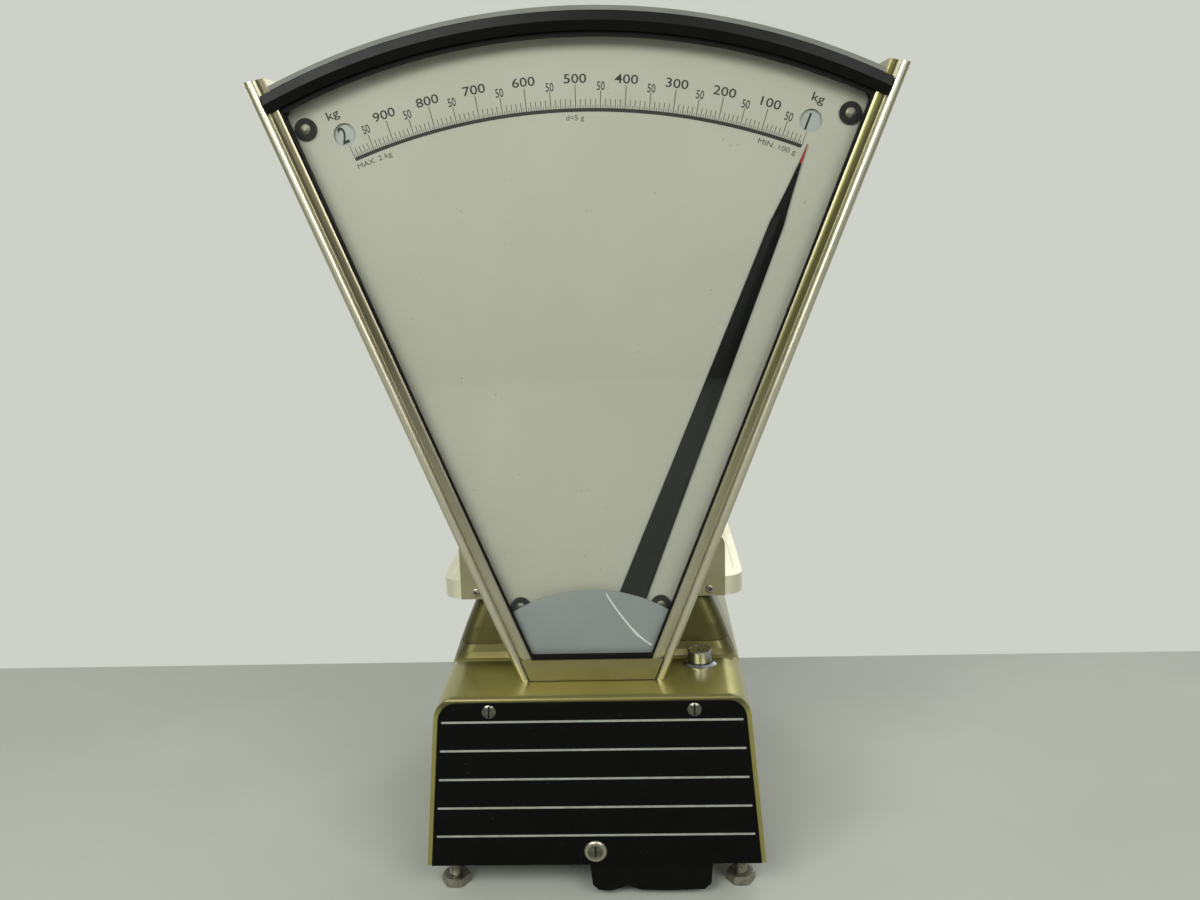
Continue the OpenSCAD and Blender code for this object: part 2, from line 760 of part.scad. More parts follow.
// The rubber seal lies in front of the glass along the rails, the arch and the bottom frame.
module glass_seal() {
    color("#191918") along_y(head_y + 2.6, glass_v - 2.6) difference() {
        head_v(seal_inset + 0.1, ledge_z + lip_h - 6, arch_r - strip_t - 2.5);
        head_v(seal_inset + seal_w, ledge_z + lip_h + 3.4, arch_r - strip_t - arch_flange - 3.6);
    }
}

module front_glass_seal() { glass_seal(); }
module rear_glass_seal() { both_faces_rear() glass_seal(); }

module dial_outline() {
    a = head_angle - dial_slack;
    z0 = ledge_z + lip_h + 5;
    z1 = pivot_z + dial_r + 2;
    x0 = rail_half(z0) - dial_inset / cos_head;
    x1 = x0 + (z1 - z0) * tan(a);
    d = x0 * cos(a) - (z0 - pivot_z) * sin(a);
    // The corner circle reaches a little over both edges, so that it crosses them
    reach = dial_corner_r - 0.05;
    c = line_meets(d - reach, a, dial_r - reach);
    n = [cos(a), -sin(a)] * reach;
    outward = c / norm(c) * reach;
    difference() {
        intersection() {
            polygon([[-x0, z0], [x0, z0], [x1, z1], [-x1, z1]]);
            translate([0, pivot_z]) circle(r = dial_r, $fn = arc_fn);
        }
        for (sx = [0, 1]) mirror([sx, 0]) translate([0, pivot_z]) difference() {
            polygon([c, c + n, c + (n + outward) * 1.5, c + outward]);
            translate(c) circle(r = dial_corner_r, $fn = curve_fn);
        }
    }
}

module dial_holes() {
    for (sx = [-1, 1]) {
        translate([sx * window_x, window_z]) circle(r = window_r, $fn = curve_fn);
        translate([sx * upper_screw[0], ledge_z + upper_screw[1]]) circle(r = dial_shank_r + 0.1, $fn = 48);
        translate([sx * lower_screw[0], ledge_z + lower_screw[1]]) circle(r = dial_shank_r + 0.1, $fn = 48);
    }
}

module dial() {
    color("#cfcbb2") along_y(head_y + dial_v, dial_t) difference() {
        dial_outline();
        dial_holes();
    }
}

module front_dial() { dial(); }
module rear_dial() { both_faces_rear() dial(); }

// Two rings of sheet behind the dials, joined by a narrow wall, and open below for the rods.
module dial_frame() {
    bar = 29;
    frame_r = arch_r - strip_t - 2.6;
    web_v = dial_v + dial_t;
    color("#3b3a37") difference() {
        union() {
            both_faces() along_y(head_y + web_v, frame_t) difference() {
                head_v(rail_wall + fit, ledge_z + 2.3, frame_r);
                head_v(bar, ledge_z + 1, dial_r - 3.5);
            }
            along_y(head_y + web_v, head_depth - 2 * web_v) difference() {
                head_v(12, ledge_z + 2.3, frame_r - 4);
                head_v(14, ledge_z + 1, frame_r - 6);
            }
            for (sx = [-1, 1], s = [upper_screw, lower_screw])
                rod_y(sx * s[0], head_y + web_v, ledge_z + s[1], head_depth - 2 * web_v, 4);
        }
        for (sx = [-1, 1], s = [upper_screw, lower_screw])
            rod_y(sx * s[0], head_y, ledge_z + s[1], head_depth, dial_shank_r + 0.05);
    }
}

module at_dial_screws() {
    both_faces() for (sx = [-1, 1], s = [upper_screw, lower_screw])
        translate([sx * s[0], front_y + head_y + dial_v, ledge_z + s[1]]) rotate([90, 0, 0]) children();
}

module dial_washers() {
    color("#20201f") at_dial_screws() difference() {
        cylinder(h = washer_t, r = washer_r, $fn = 64);
        translate([0, 0, -1]) cylinder(h = washer_t + 2, r = dial_shank_r + 0.05, $fn = 48);
    }
}

module dial_screws() {
    color("#b9b4a6") at_dial_screws() {
        translate([0, 0, washer_t]) rotate_extrude($fn = 64) intersection() {
            square([dial_screw_r, 1.3]);
            translate([0, 1.3 - 7]) circle(r = 7, $fn = 96);
        }
        translate([0, 0, -7]) cylinder(h = 7 + washer_t, r = dial_shank_r, $fn = 48);
    }
}

module hub_cover() {
    peak = ledge_z + hub_peak;
    color("#878d90") along_y(head_y + hub_v, hub_t) intersection() {
        head_v(9.5, ledge_z + 2.3, dial_r);
        translate([0, peak - hub_arch_r]) circle(r = hub_arch_r, $fn = arc_fn);
    }
}

module front_hub_cover() { hub_cover(); }
module rear_hub_cover() { both_faces_rear() hub_cover(); }

// POINTER, PENDULUM AND AXLE

module at_pivot() {
    translate([0, front_y, pivot_z]) rotate([0, pointer_rest, 0]) children();
}

// Outline of the folded blade, from the hub to the shoulder and on to the tip.
module blade_solid(depth) {
    root = pointer_root_w / 2;
    shoulder = pointer_shoulder_w / 2;
    neck = pointer_shoulder + 7;
    hull() {
        rotate([90, 0, 0]) linear_extrude(height = 0.02)
            polygon([[-root, 0], [root, 0], [shoulder, pointer_shoulder], [1.6, neck], [-1.6, neck],
                     [-shoulder, pointer_shoulder]]);
        translate([-0.1, -depth, 0]) cube([0.2, 0.02, neck]);
    }
}

module pointer() {
    neck = pointer_shoulder + 7;
    back = head_y + pointer_v + pointer_fold + pointer_t;
    color("#161615") at_pivot() translate([0, back, 0]) difference() {
        union() {
            difference() {
                blade_solid(pointer_fold + pointer_t);
                translate([0, pointer_t, 0]) blade_solid(pointer_fold + pointer_t);
            }
            // The blade behind the shoulder carries the fine tip
            rotate([90, 0, 0]) linear_extrude(height = 0.6)
                polygon([[-1.6, neck - 12], [1.6, neck - 12], [1.5, neck], [0.25, pointer_len],
                         [-0.25, pointer_len], [-1.5, neck]]);
            rotate([90, 0, 0]) cylinder(h = pointer_fold + pointer_t, r = 9, $fn = 64);
        }
        translate([0, 1, 0]) rotate([90, 0, 0]) cylinder(h = 10, r = axle_r + press_fit, $fn = 48);
    }
}

module front_pointer() { pointer(); }

module rear_pointer() { both_faces_rear() pointer(); }

module pointer_axle() {
    y0 = head_y + pointer_v - 0.6;
    color("#b0aea6") at_pivot() translate([0, y0 + 2 * (head_mid - y0), 0]) rotate([90, 0, 0])
        cylinder(h = 2 * (head_mid - y0), r = axle_r, $fn = 48);
}

module pendulum_arm() {
    color("#8d8c86") at_pivot() translate([0, head_mid - 2.5, 0]) difference() {
        union() {
            rotate([90, 0, 0]) cylinder(h = 3, r = 9, $fn = 64);
            translate([-4, -3, -bob_at]) cube([8, 3, bob_at]);
            translate([0, 0, -bob_at]) rotate([90, 0, 0]) cylinder(h = 3, r = 7, $fn = 64);
        }
        translate([0, 1, 0]) rotate([90, 0, 0]) cylinder(h = 5, r = axle_r + press_fit, $fn = 48);
    }
}

module pendulum_weight() {
    color("#9a8a56") at_pivot() translate([0, 0, -bob_at]) difference() {
        translate([0, head_mid - 4.5 + bob_t / 2, 0]) rotate([90, 0, 0])
            cylinder(h = bob_t, r = bob_r, $fn = 96);
        translate([0, head_mid - 2.5 + press_fit, 0]) rotate([90, 0, 0])
            cylinder(h = 3 + 2 * press_fit, r = 7 + press_fit, $fn = 64);
        translate([-4 - press_fit, head_mid - 5.5 - press_fit, 0])
            cube([8 + 2 * press_fit, 3 + 2 * press_fit, bob_r + 1]);
    }
}

module crank() {
    y1 = head_mid + 2;
    color("#a7a59c") at_pivot() difference() {
        union() {
            translate([0, y1, 0]) rotate([90, 0, 0]) cylinder(h = 3, r = 7, $fn = 64);
            translate([0, y1 - 3, -4]) cube([crank_r, 3, 8]);
            translate([crank_r, y1, 0]) rotate([90, 0, 0]) cylinder(h = 3, r = 4, $fn = 48);
            translate([crank_r, link_y + 2, 0]) rotate([90, 0, 0])
                cylinder(h = link_y + 3 - y1, r = crank_pin_r, $fn = 48);
        }
        translate([0, y1 + 1, 0]) rotate([90, 0, 0]) cylinder(h = 5, r = axle_r + press_fit, $fn = 48);
    }
}

// Plate that hangs under the ledge and narrows down to the axle.
module hanger(y, t) {
    top = ledge_z - wall;
    along_y(y, t) difference() {
        polygon([[-hanger_hw, top], [-hanger_hw, top - 5], [-bush_r - 3, pivot_z - bush_r - 2],
                 [bush_r + 3, pivot_z - bush_r - 2], [hanger_hw, top - 5], [hanger_hw, top]]);
        translate([0, pivot_z]) circle(r = bush_r + press_fit, $fn = 64);
    }
}

module axle_bracket() {
    top = ledge_z - wall;
    color("#8a8b86") {
        hanger(hanger_front, hanger_t);
        hanger(hanger_back, hanger_t);
        both_sides()
            block(hanger_hw - hanger_flange, hanger_hw, hanger_front, hanger_back + hanger_t, top - 5, top);
        // Guide lug of the indicator rod
        difference() {
            block(indicator_x - 3.4, hanger_hw - hanger_flange + 1, indicator_y - 3, hanger_back + 1,
                  top - 4, top);
            rod_z(indicator_x, indicator_y, top - 5, 6, indicator_r + run_fit);
        }
    }
}

module axle_bushes() {
    color("#b08a4a") for (y = [hanger_front, hanger_back])
        translate([0, front_y + y + hanger_t, pivot_z]) rotate([90, 0, 0]) difference() {
            cylinder(h = hanger_t, r = bush_r, $fn = 64);
            translate([0, 0, -1]) cylinder(h = hanger_t + 2, r = axle_r + run_fit, $fn = 48);
        }
}

// BEAM AND CARRIER

module at_fulcrum() {
    translate([0, front_y + fulcrum_y, fulcrum_z]) rotate([beam_tilt, 0, 0]) children();
}

module beam_outline() {
    h = beam_h / 2;
    polygon([[-front_arm - 4, -4], [-front_arm - 4, 4], [-12, h], [weight_at - 12, h], [beam_back, h],
             [beam_back, 2], [weight_at - 12, -2], [rear_arm + 8, -h], [-12, -h]]);
}

module main_beam() {
    color("#a09d92") at_fulcrum() difference() {
        union() {
            rotate([90, 0, 90]) translate([0, 0, -beam_hw]) linear_extrude(height = 2 * beam_hw)
                beam_outline();
            translate([0, -front_arm, 0]) rotate([0, 90, 0])
                cylinder(h = link_x + 3, r = crank_pin_r, $fn = 48);
        }
        translate([0, dashpot_at, -beam_h]) cylinder(h = 2 * beam_h, r = 3.4, $fn = 48);
        // Seats of the two knife edges
        translate([0, 0, knife_rise]) rotate([0, 90, 0])
            cylinder(h = 60, r = knife_r + press_fit, center = true, $fn = 48);
        translate([0, rear_arm, -knife_rise]) rotate([0, 90, 0])
            cylinder(h = 60, r = knife_r + press_fit, center = true, $fn = 48);
    }
}

// A round bar that is ground at both ends to an edge, which lies on the bar's own X axis.
module knife(half) {
    grind = half - beam_hw - 1;
    difference() {
        translate([0, 0, knife_rise]) rotate([0, 90, 0])
            cylinder(h = 2 * half, r = knife_r, center = true, $fn = 48);
        for (sx = [-1, 1], a = [-45, 45]) translate([sx * (half - grind / 2 + 0.5), 0, 0]) rotate([a, 0, 0])
            translate([0, 0, -5]) cube([grind + 1, 14, 10], center = true);
    }
}

module knife_edges() {
    color("#c3c3be") at_fulcrum() {
        knife(front_knife_half);
        translate([0, rear_arm, 0]) mirror([0, 0, 1]) knife(fork_gap + fork_t);
    }
}

// Bearing blocks with an open V, in which the knife edge rests.
module knife_bearings() {
    z = fulcrum_z - fit;
    s = bearing_size;
    color("#7e2f2a") both_sides() along_x(bearing_x, bearing_w) translate([fulcrum_y, z]) difference() {
        translate([-s / 2, -s * 0.8]) square([s, s]);
        polygon([[0, 0], [s * 0.9, s * 0.7], [s * 0.9, 2 * s], [-s * 0.9, 2 * s], [-s * 0.9, s * 0.7]]);
    }
}

module mechanism_frame() {
    z = fulcrum_z - fit - bearing_size * 0.8;
    half_d = stand_d / 2;
    stand_end = stand_x + stand_w;
    color("#7c7f7b") {
        block(-stand_end - 3, stand_end + 7, fulcrum_y - stand_d - 6, fulcrum_y + half_d + 4, floor_z,
              floor_z + 4);
        both_sides() {
            block(stand_x, stand_end, fulcrum_y - half_d, fulcrum_y + half_d, floor_z, z);
            along_x(stand_x, cheek_t) translate([fulcrum_y - half_d, z]) square([stand_d, cheek_h]);
        }
        rod_x(stand_end - 1, fulcrum_y, check_z, check_x + check_t + 2.5 - stand_end, check_pin_r);
    }
}

module check_link() {
    color("#94948e") translate([check_x, front_y + fulcrum_y, check_z]) rotate([beam_tilt, 0, 0])
        rotate([90, 0, 90]) linear_extrude(height = check_t) difference() {
            union() {
                circle(r = 6, $fn = 64);
                translate([rear_arm, 0]) circle(r = 6, $fn = 64);
                translate([0, -4]) square([rear_arm, 8]);
            }
            circle(r = check_pin_r + run_fit, $fn = 48);
            translate([rear_arm, 0]) circle(r = check_pin_r + 0.7, $fn = 48);
        }
}

module connecting_link() {
    low = fulcrum_z - beam_front_travel / 2;
    high = pivot_z - crank_r * sin(pointer_rest);
    ring = 5;
    bore = crank_pin_r + 0.7;
    color("#9f9d94") difference() {
        union() {
            rod_x(link_x - 1.4, link_y, low, 2.8, ring);
            rod_y(link_x, link_y - 1.4, high, 2.8, ring);
            block(link_x - 1.2, link_x + 1.2, link_y - 1.2, link_y + 1.2, low + 4, high - 4);
        }
        rod_x(link_x - 4, link_y, low, 8, bore);
        rod_y(link_x, link_y - 4, high, 8, bore);
    }
}

module dashpot_cylinder() {
    color("#8f8f89") translate([0, front_y + fulcrum_y + dashpot_at, floor_z]) rotate_extrude($fn = 96)
        polygon([[0, 0], [dashpot_r, 0], [dashpot_r, dashpot_top - floor_z], [3, dashpot_top - floor_z],
                 [3, dashpot_top - floor_z - 2], [dashpot_r - 2, dashpot_top - floor_z - 2],
                 [dashpot_r - 2, 2], [0, 2]]);
}

module dashpot_piston() {
    y = fulcrum_y + dashpot_at;
    z = fulcrum_z + dashpot_at * sin(beam_tilt);
    half = beam_h / 2 / cos(beam_tilt);
    color("#a5a39a") {
        rod_z(0, y, piston_z + 2, z + half + 5 - piston_z - 2, piston_rod_r);
        rod_z(0, y, piston_z, piston_t, dashpot_r - 2 - fit);
        rod_z(0, y, z + half + 1.1, piston_t, piston_rod_r + 3);
        rod_z(0, y, z - half - 1.1 - piston_t, piston_t, piston_rod_r + 3);
    }
}

module carrier_post() {
    top = tray_z - tray_t;
    low = check_pin_z - 8;
    color("#a8a69c") difference() {
        union() {
            rod_z(0, post_y, knife_z + 18, top - knife_z - 18, post_r);
            rod_z(0, post_y, top - 4, 4, post_flange_r);
            block(-fork_gap - fork_t, fork_gap + fork_t, post_y - 9, post_y + 9, knife_z + 12, knife_z + 22);
            both_sides() block(fork_gap, fork_gap + fork_t, post_y - 9, post_y + 9, low, knife_z + 14);
            rod_x(fork_gap + 1, post_y, check_pin_z, check_x + check_t + 0.5 - fork_gap, check_pin_r);
        }
        // Windows with an upper V that hang on the beam's rear knife edge
        both_sides() along_x(fork_gap - 1, fork_t + 2) translate([post_y, knife_z + fit])
            polygon([[0, 0], [6.5, -5], [6.5, -9], [-6.5, -9], [-6.5, -5]]);
    }
}

module tray_outline(hw, y0, y1, r) {
    translate([-hw, y0 + r]) square([2 * hw, y1 - y0 - 2 * r]);
    translate([-hw + r, y0]) square([2 * hw - 2 * r, y1 - y0]);
    for (sx = [-1, 1], y = [y0 + r, y1 - r]) translate([sx * (hw - r), y]) circle(r = r, $fn = curve_fn);
}

module pan_carrier() {
    y0 = tray_y;
    y1 = tray_y + tray_depth;
    color("#bdb897") translate([0, front_y, 0]) difference() {
        translate([0, 0, tray_z - skirt_h]) linear_extrude(height = skirt_h)
            tray_outline(tray_hw, y0, y1, tray_r);
        translate([0, 0, tray_z - skirt_h - 1]) linear_extrude(height = skirt_h + 1 - tray_t)
            tray_outline(tray_hw - tray_t, y0 + tray_t, y1 - tray_t, tray_r - tray_t);
        // A shallow step round the seat keeps the goods pan in place
        translate([0, 0, tray_z - 0.6]) linear_extrude(height = 2)
            tray_outline(tray_hw - 6, y0 + 6, y1 - 6, tray_r - 5);
        both_sides() translate([upstand_hw - 12, y0 + 3, tray_z - skirt_h + 5.4]) rotate([90, 0, 0])
            cylinder(h = 6, r = 2 + press_fit, $fn = 48);
    }
}

module upstand_outline() {
    r = 8;
    z0 = tray_z - skirt_h;
    translate([-upstand_hw, z0]) square([2 * upstand_hw, upstand_h - r]);
    translate([-upstand_hw + r, z0]) square([2 * upstand_hw - 2 * r, upstand_h]);
    for (sx = [-1, 1]) translate([sx * (upstand_hw - r), z0 + upstand_h - r]) circle(r = r, $fn = curve_fn);
}

module carrier_upstand() {
    color("#8d8b78") along_y(tray_y - tray_t, tray_t) difference() {
        upstand_outline();
        for (sx = [-1, 1]) translate([sx * (upstand_hw - 12), tray_z - skirt_h + 5.4])
            circle(r = 2 + press_fit, $fn = 48);
    }
}

module carrier_rivets() {
    color("#aaa68f") both_sides()
        translate([upstand_hw - 12, front_y + tray_y - tray_t, tray_z - skirt_h + 5.4])
        rotate([90, 0, 0]) rotate_extrude($fn = 64)
        polygon([[1.2, -tray_t * 2 - 1], [3, -tray_t * 2 - 1], [3, -tray_t * 2], [2, -tray_t * 2], [2, 0],
                 [3.1, 0], [3.1, 0.4], [2.3, 0.9], [1.6, 0.9], [1.2, 0.4]]);
}

// RANGE CHANGE

// Front outline of the handle: a narrow and a broad lobe with a notch between them.
module handle_outline() {
    z0 = base_z - 0.8 - handle_h;
    x0 = handle_x - handle_w / 2;
    w = handle_w;
    notch = x0 + 0.3 * w;
    difference() {
        union() {
            polygon([[x0, z0 + handle_h], [x0 + 1.5, z0 + 5], [x0 + 6, z0 + 0.6], [x0 + 0.17 * w, z0],
                     [notch, z0 + 4], [x0 + 0.42 * w, z0 + 0.6], [x0 + 0.62 * w, z0],
                     [x0 + w - 6, z0 + 0.8], [x0 + w - 1, z0 + 5.5], [x0 + w, z0 + handle_h]]);
        }
        translate([notch, z0 - 8.5]) circle(r = 11.5, $fn = curve_fn);
    }
}

module range_handle() {
    color("#1a1a19") difference() {
        along_y(2, handle_d) handle_outline();
        // Finger hollow at the back and pocket for the slide's tab
        block(handle_x - 10 - fit, handle_x + 10 + fit, 17.5 - 0.1, 20.5 + 0.1, base_z - 10, base_z + 2);
    }
}

module cam_ramp(x0, x1, z0, rise) {
    polygon([[x0, slide_z], [x1, slide_z], [x1, z0 + rise], [x0, z0]]);
}

module range_slide() {
    slope_a = plate_rise / range_travel;
    slope_b = -weight_drop / range_travel;
    color("#8b8d88") {
        difference() {
            union() {
                block(-20, 95, 14.5, 64, slide_z, slide_z + slide_t);
                block(62, 95, 60, lifter_y + 14, slide_z, slide_z + slide_t);
                block(62, 108, lifter_y - 12, lifter_y + 14, slide_z, slide_z + slide_t);
            }
            // Clearance for the lock nut of the right front foot
            rod_z(foot_x, foot_inset, slide_z - 1, slide_t + 2, 17);
            for (x = guide_x) {
                block(x, x + range_travel, guide_y - guide_r - 0.1, guide_y + guide_r + 0.1,
                      slide_z - 1, slide_z + slide_t + 1);
                for (end = [0, range_travel])
                    rod_z(x + end, guide_y, slide_z - 1, slide_t + 2, guide_r + 0.1);
            }
        }
        block(handle_x - 10, handle_x + 10, 17.5, 20.5, base_z - 9, slide_z + slide_t);
        along_y(indicator_y - cam_t / 2, cam_t)
            cam_ramp(indicator_x - 8, indicator_x + range_travel + 8, cam_foot_z - 8 * slope_a,
                     (range_travel + 16) * slope_a);
        along_y(lifter_y - cam_t / 2, cam_t)
            cam_ramp(lifter_x - 8, lifter_x + range_travel + 8, weight_cam_z - 8 * slope_b,
                     (range_travel + 16) * slope_b);
    }
}

// A roller of radius r clears a ramp of this slope by the fit when its axis stands this high above it.
function roller_rise(slope) = (roller_r + fit) * sqrt(1 + slope * slope);

module number_plates(v) {
    top = window_z + 7.9;
    both_sides() along_y(head_y + v, number_t)
        translate([window_x - 8, top - plate_rise - 15.8]) square([16, plate_rise + 15.8]);
    along_y(head_y + v, number_t) translate([-window_x, top - plate_rise - 15.8]) square([2 * window_x, 7]);
}

module range_indicator() {
    axis_z = cam_foot_z + roller_rise(plate_rise / range_travel);
    top = window_z + 7.9 - plate_rise - 15.8;
    color("#c4c6c4") {
        number_plates(number_v);
        number_plates(head_depth - number_v - number_t);
        block(indicator_x - 2, indicator_x + 2, head_y + number_v, head_y + head_depth - number_v,
              top, top + 7);
        rod_z(indicator_x, indicator_y, axis_z, top + 3 - axis_z, indicator_r);
        rod_y(indicator_x, indicator_y - 2.4, axis_z, 4.8, roller_r);
    }
}

module weight_lifter() {
    axis_z = weight_cam_z + roller_rise(weight_drop / range_travel);
    arm_z = weight_z + weight_h / 2;
    arm_x = weight_w / 2 + 0.1;
    color("#9a9992") {
        rod_z(lifter_x, lifter_y, axis_z, arm_z - axis_z + 4, lifter_r);
        rod_y(lifter_x, lifter_y - roller_w / 2, axis_z, roller_w, roller_r);
        block(arm_x, lifter_x + lifter_r, lifter_y - 4, lifter_y + 4, arm_z - 4, arm_z + 4);
        rod_x(arm_x - 11.6, lifter_y, arm_z, 14, lifter_pin_r);
    }
}

module range_weight() {
    half_w = weight_w / 2;
    half_d = weight_d / 2;
    color("#55544f") difference() {
        block(-half_w, half_w, lifter_y - half_d, lifter_y + half_d, weight_z, weight_z + weight_h);
        rod_x(half_w - 12, lifter_y, weight_z + weight_h / 2, 13, lifter_pin_r + press_fit);
    }
}

// Shoulder screws that guide the slots of the slide.
module range_guide_screws() {
    head_z = slide_z + slide_t + fit;
    color("#b3b2aa") for (x = guide_x) difference() {
        union() {
            rod_z(x, guide_y, base_z, head_z - base_z, guide_stem_r);
            rod_z(x, guide_y, floor_z, head_z - floor_z + 1, guide_r);
            rod_z(x, guide_y, head_z, guide_head[1], guide_head[0]);
        }
        block(x - guide_head[0] - 1, x + guide_head[0] + 1, guide_y - slot_w / 2, guide_y + slot_w / 2,
              head_z + guide_head[1] / 2, head_z + guide_head[1] + 1);
    }
}

module weight_guide() {
    y1 = base_depth - wall;
    y0 = y1 - guide_foot;
    z0 = guide_arm_z;
    z1 = guide_arm_z + 8;
    x0 = lifter_x - guide_arm_w / 2;
    x1 = lifter_x + guide_arm_w / 2;
    color("#84867f") difference() {
        union() {
            block(x0, x1, y0, y1 - 0.1, floor_z, floor_z + 3);
            block(x0, x1, y0, y0 + 3, floor_z, z1);
            block(x0, x1, lifter_y - guide_arm_w / 2, y0 + 3, z0, z1);
        }
        rod_z(lifter_x, lifter_y, z0 - 1, 10, lifter_r + run_fit);
    }
}

base_housing();
base_plate();
base_plate_screws();
front_panel();
panel_screws();
cup_washer();
cup_washer_screw();
foot_front_left();
foot_front_right();
foot_rear_left();
foot_rear_right();
foot_lock_nuts();
zero_knob();
zero_spindle();
knob_escutcheon();
rail_left();
rail_right();
head_bottom_frame();
top_cover();
top_strip();
front_glass();
rear_glass();
front_glass_seal();
rear_glass_seal();
front_dial();
rear_dial();
dial_frame();
dial_screws();
dial_washers();
front_hub_cover();
rear_hub_cover();
front_pointer();
rear_pointer();
pointer_axle();
pendulum_arm();
pendulum_weight();
crank();
axle_bracket();
axle_bushes();
connecting_link();
main_beam();
knife_edges();
knife_bearings();
mechanism_frame();
check_link();
dashpot_cylinder();
dashpot_piston();
carrier_post();
pan_carrier();
carrier_upstand();
carrier_rivets();
range_handle();
range_slide();
range_indicator();
weight_guide();
range_weight();
weight_lifter();
range_guide_screws();
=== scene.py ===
"""Looks of a mechanical counter scale: a fan-shaped glazed head on a lacquered housing.

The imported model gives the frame. This script dresses its nodes in procedural finishes, adds the
printing, the tips of the pointers, the threads of the feet and other fine pieces, and sets up the
studio. Lengths are in metres, apart from those whose name ends in _mm.
"""

import logging
import math
from collections.abc import Callable, Iterable, Iterator, Sequence
from contextlib import contextmanager
from dataclasses import dataclass, field
from enum import Enum

import bmesh
import bpy
from mathutils import Matrix, Vector


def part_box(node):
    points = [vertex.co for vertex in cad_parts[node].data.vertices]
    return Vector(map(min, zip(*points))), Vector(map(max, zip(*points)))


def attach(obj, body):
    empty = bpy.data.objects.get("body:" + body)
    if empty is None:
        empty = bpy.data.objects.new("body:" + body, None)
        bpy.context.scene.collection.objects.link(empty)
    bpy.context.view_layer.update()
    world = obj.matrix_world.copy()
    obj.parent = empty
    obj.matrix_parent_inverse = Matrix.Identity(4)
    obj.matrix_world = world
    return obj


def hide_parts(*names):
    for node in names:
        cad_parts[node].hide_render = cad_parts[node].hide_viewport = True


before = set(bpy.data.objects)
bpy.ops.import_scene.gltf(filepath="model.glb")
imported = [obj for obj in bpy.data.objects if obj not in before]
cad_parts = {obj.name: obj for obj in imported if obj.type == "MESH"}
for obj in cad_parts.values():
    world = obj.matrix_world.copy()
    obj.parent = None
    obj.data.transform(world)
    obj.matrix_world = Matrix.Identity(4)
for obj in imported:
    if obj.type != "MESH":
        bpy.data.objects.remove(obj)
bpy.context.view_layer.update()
NODES: dict[str, bpy.types.Object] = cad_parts
MM = 0.001
LOG = logging.getLogger("scale")

Tree = bpy.types.NodeTree
Socket = bpy.types.NodeSocket
Piece = bpy.types.Object
Colour = tuple[float, float, float, float]

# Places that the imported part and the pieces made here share
FRONT_Y = -0.15175
PIVOT_Z = 0.1422
PANEL_Z = 0.028
LEDGE_Z = 0.161
HEAD_Y = FRONT_Y + 0.030
HEAD_MID_Y = HEAD_Y + 0.0225
RAIL_DEG = 21.3
SCALE_ANGLE = math.radians(20.9)
POINTER_ANGLE = math.radians(21.35)
# The load in grams at which the pointer has crossed the whole dial
FULL_RANGE = 1000


class Face(Enum):
    """The two sides of the head: the value is the way the print looks, along Y."""

    FRONT = -1
    REAR = 1


class Side(Enum):
    """The left and the right of the scale for someone who reads the front dial."""

    LEFT = -1
    RIGHT = 1


def linear(code: str) -> Colour:
    """Turns an sRGB hex code into linear colour.

    Args:
        code: Six hexadecimal digits, with or without a leading hash.

    Returns:
        Linear red, green and blue, and an alpha of one.
    """
    digits = code.lstrip("#")
    parts = [int(digits[i : i + 2], 16) / 255 for i in (0, 2, 4)]
    red, green, blue = (p / 12.92 if p <= 0.04045 else ((p + 0.055) / 1.055) ** 2.4 for p in parts)
    return red, green, blue, 1.0


def add_node(
    tree: Tree, kind: str, inputs: dict[str | int, object] | None = None, **settings: object
) -> bpy.types.Node:
    """Adds a node, sets it and links it.

    Args:
        tree: The node tree that gets the node.
        kind: The node's type name without the leading "ShaderNode".
        inputs: Socket name or number to a value, or to an output socket that is linked to it.
        **settings: Properties of the node, such as operation or blend_type.

    Returns:
        The new node.
    """
    made = tree.nodes.new("ShaderNode" + kind)
    for key, value in settings.items():
        setattr(made, key, value)
    for key, value in (inputs or {}).items():
        socket = made.inputs[key]
        if isinstance(value, Socket):
            tree.links.new(value, socket)
        else:
            socket.default_value = value
    return made


def calculate(tree: Tree, operation: str, *values: Socket | float) -> Socket:
    """Works out one step of arithmetic from sockets and numbers."""
    return add_node(tree, "Math", dict(enumerate(values)), operation=operation).outputs[0]


def remap(tree: Tree, value: Socket, span: Sequence[float], ends: Sequence[float] = (0.0, 1.0)) -> Socket:
    """Carries a value over from a span of its own to other ends, and holds it there."""
    return add_node(tree, "MapRange", {0: value, 1: span[0], 2: span[1], 3: ends[0], 4: ends[1]}).outputs[0]


def blend(tree: Tree, share: Socket, first: Socket | Colour, second: Socket | Colour) -> Socket:
    """Mixes a share of the second colour into the first."""
    return add_node(tree, "Mix", {0: share, "A": first, "B": second}, data_type="RGBA").outputs["Result"]


# --- Finishes ---------------------------------------------------------------------------------

# The spans of the noise in which a patch, a speck, a group of specks and a dull spot begin and are full
PATCH_SPAN = (0.35, 0.68)
SPECK_SPAN = (0.07, 0.11)
GROUP_SPAN = (0.56, 0.62)
GLOSS_SPAN = (0.3, 0.7)
SPECK_SHARE = 0.6
COAT_ROUGHNESS = 0.12


@dataclass(frozen=True)
class Surface:
    """Anything that a piece can wear.

    Attributes:
        name: What the surface is made of.
    """

    name: str

    def wire(self, material: bpy.types.Material) -> None:
        """Fills the node tree of the new material."""
        raise NotImplementedError

    def build(self) -> bpy.types.Material:
        """Makes the material, once for each surface.

        Returns:
            The material with its node tree.
        """
        found = bpy.data.materials.get(self.name)
        if found:
            return found
        material = bpy.data.materials.new(self.name)
        material.use_nodes = True
        self.wire(material)
        return material


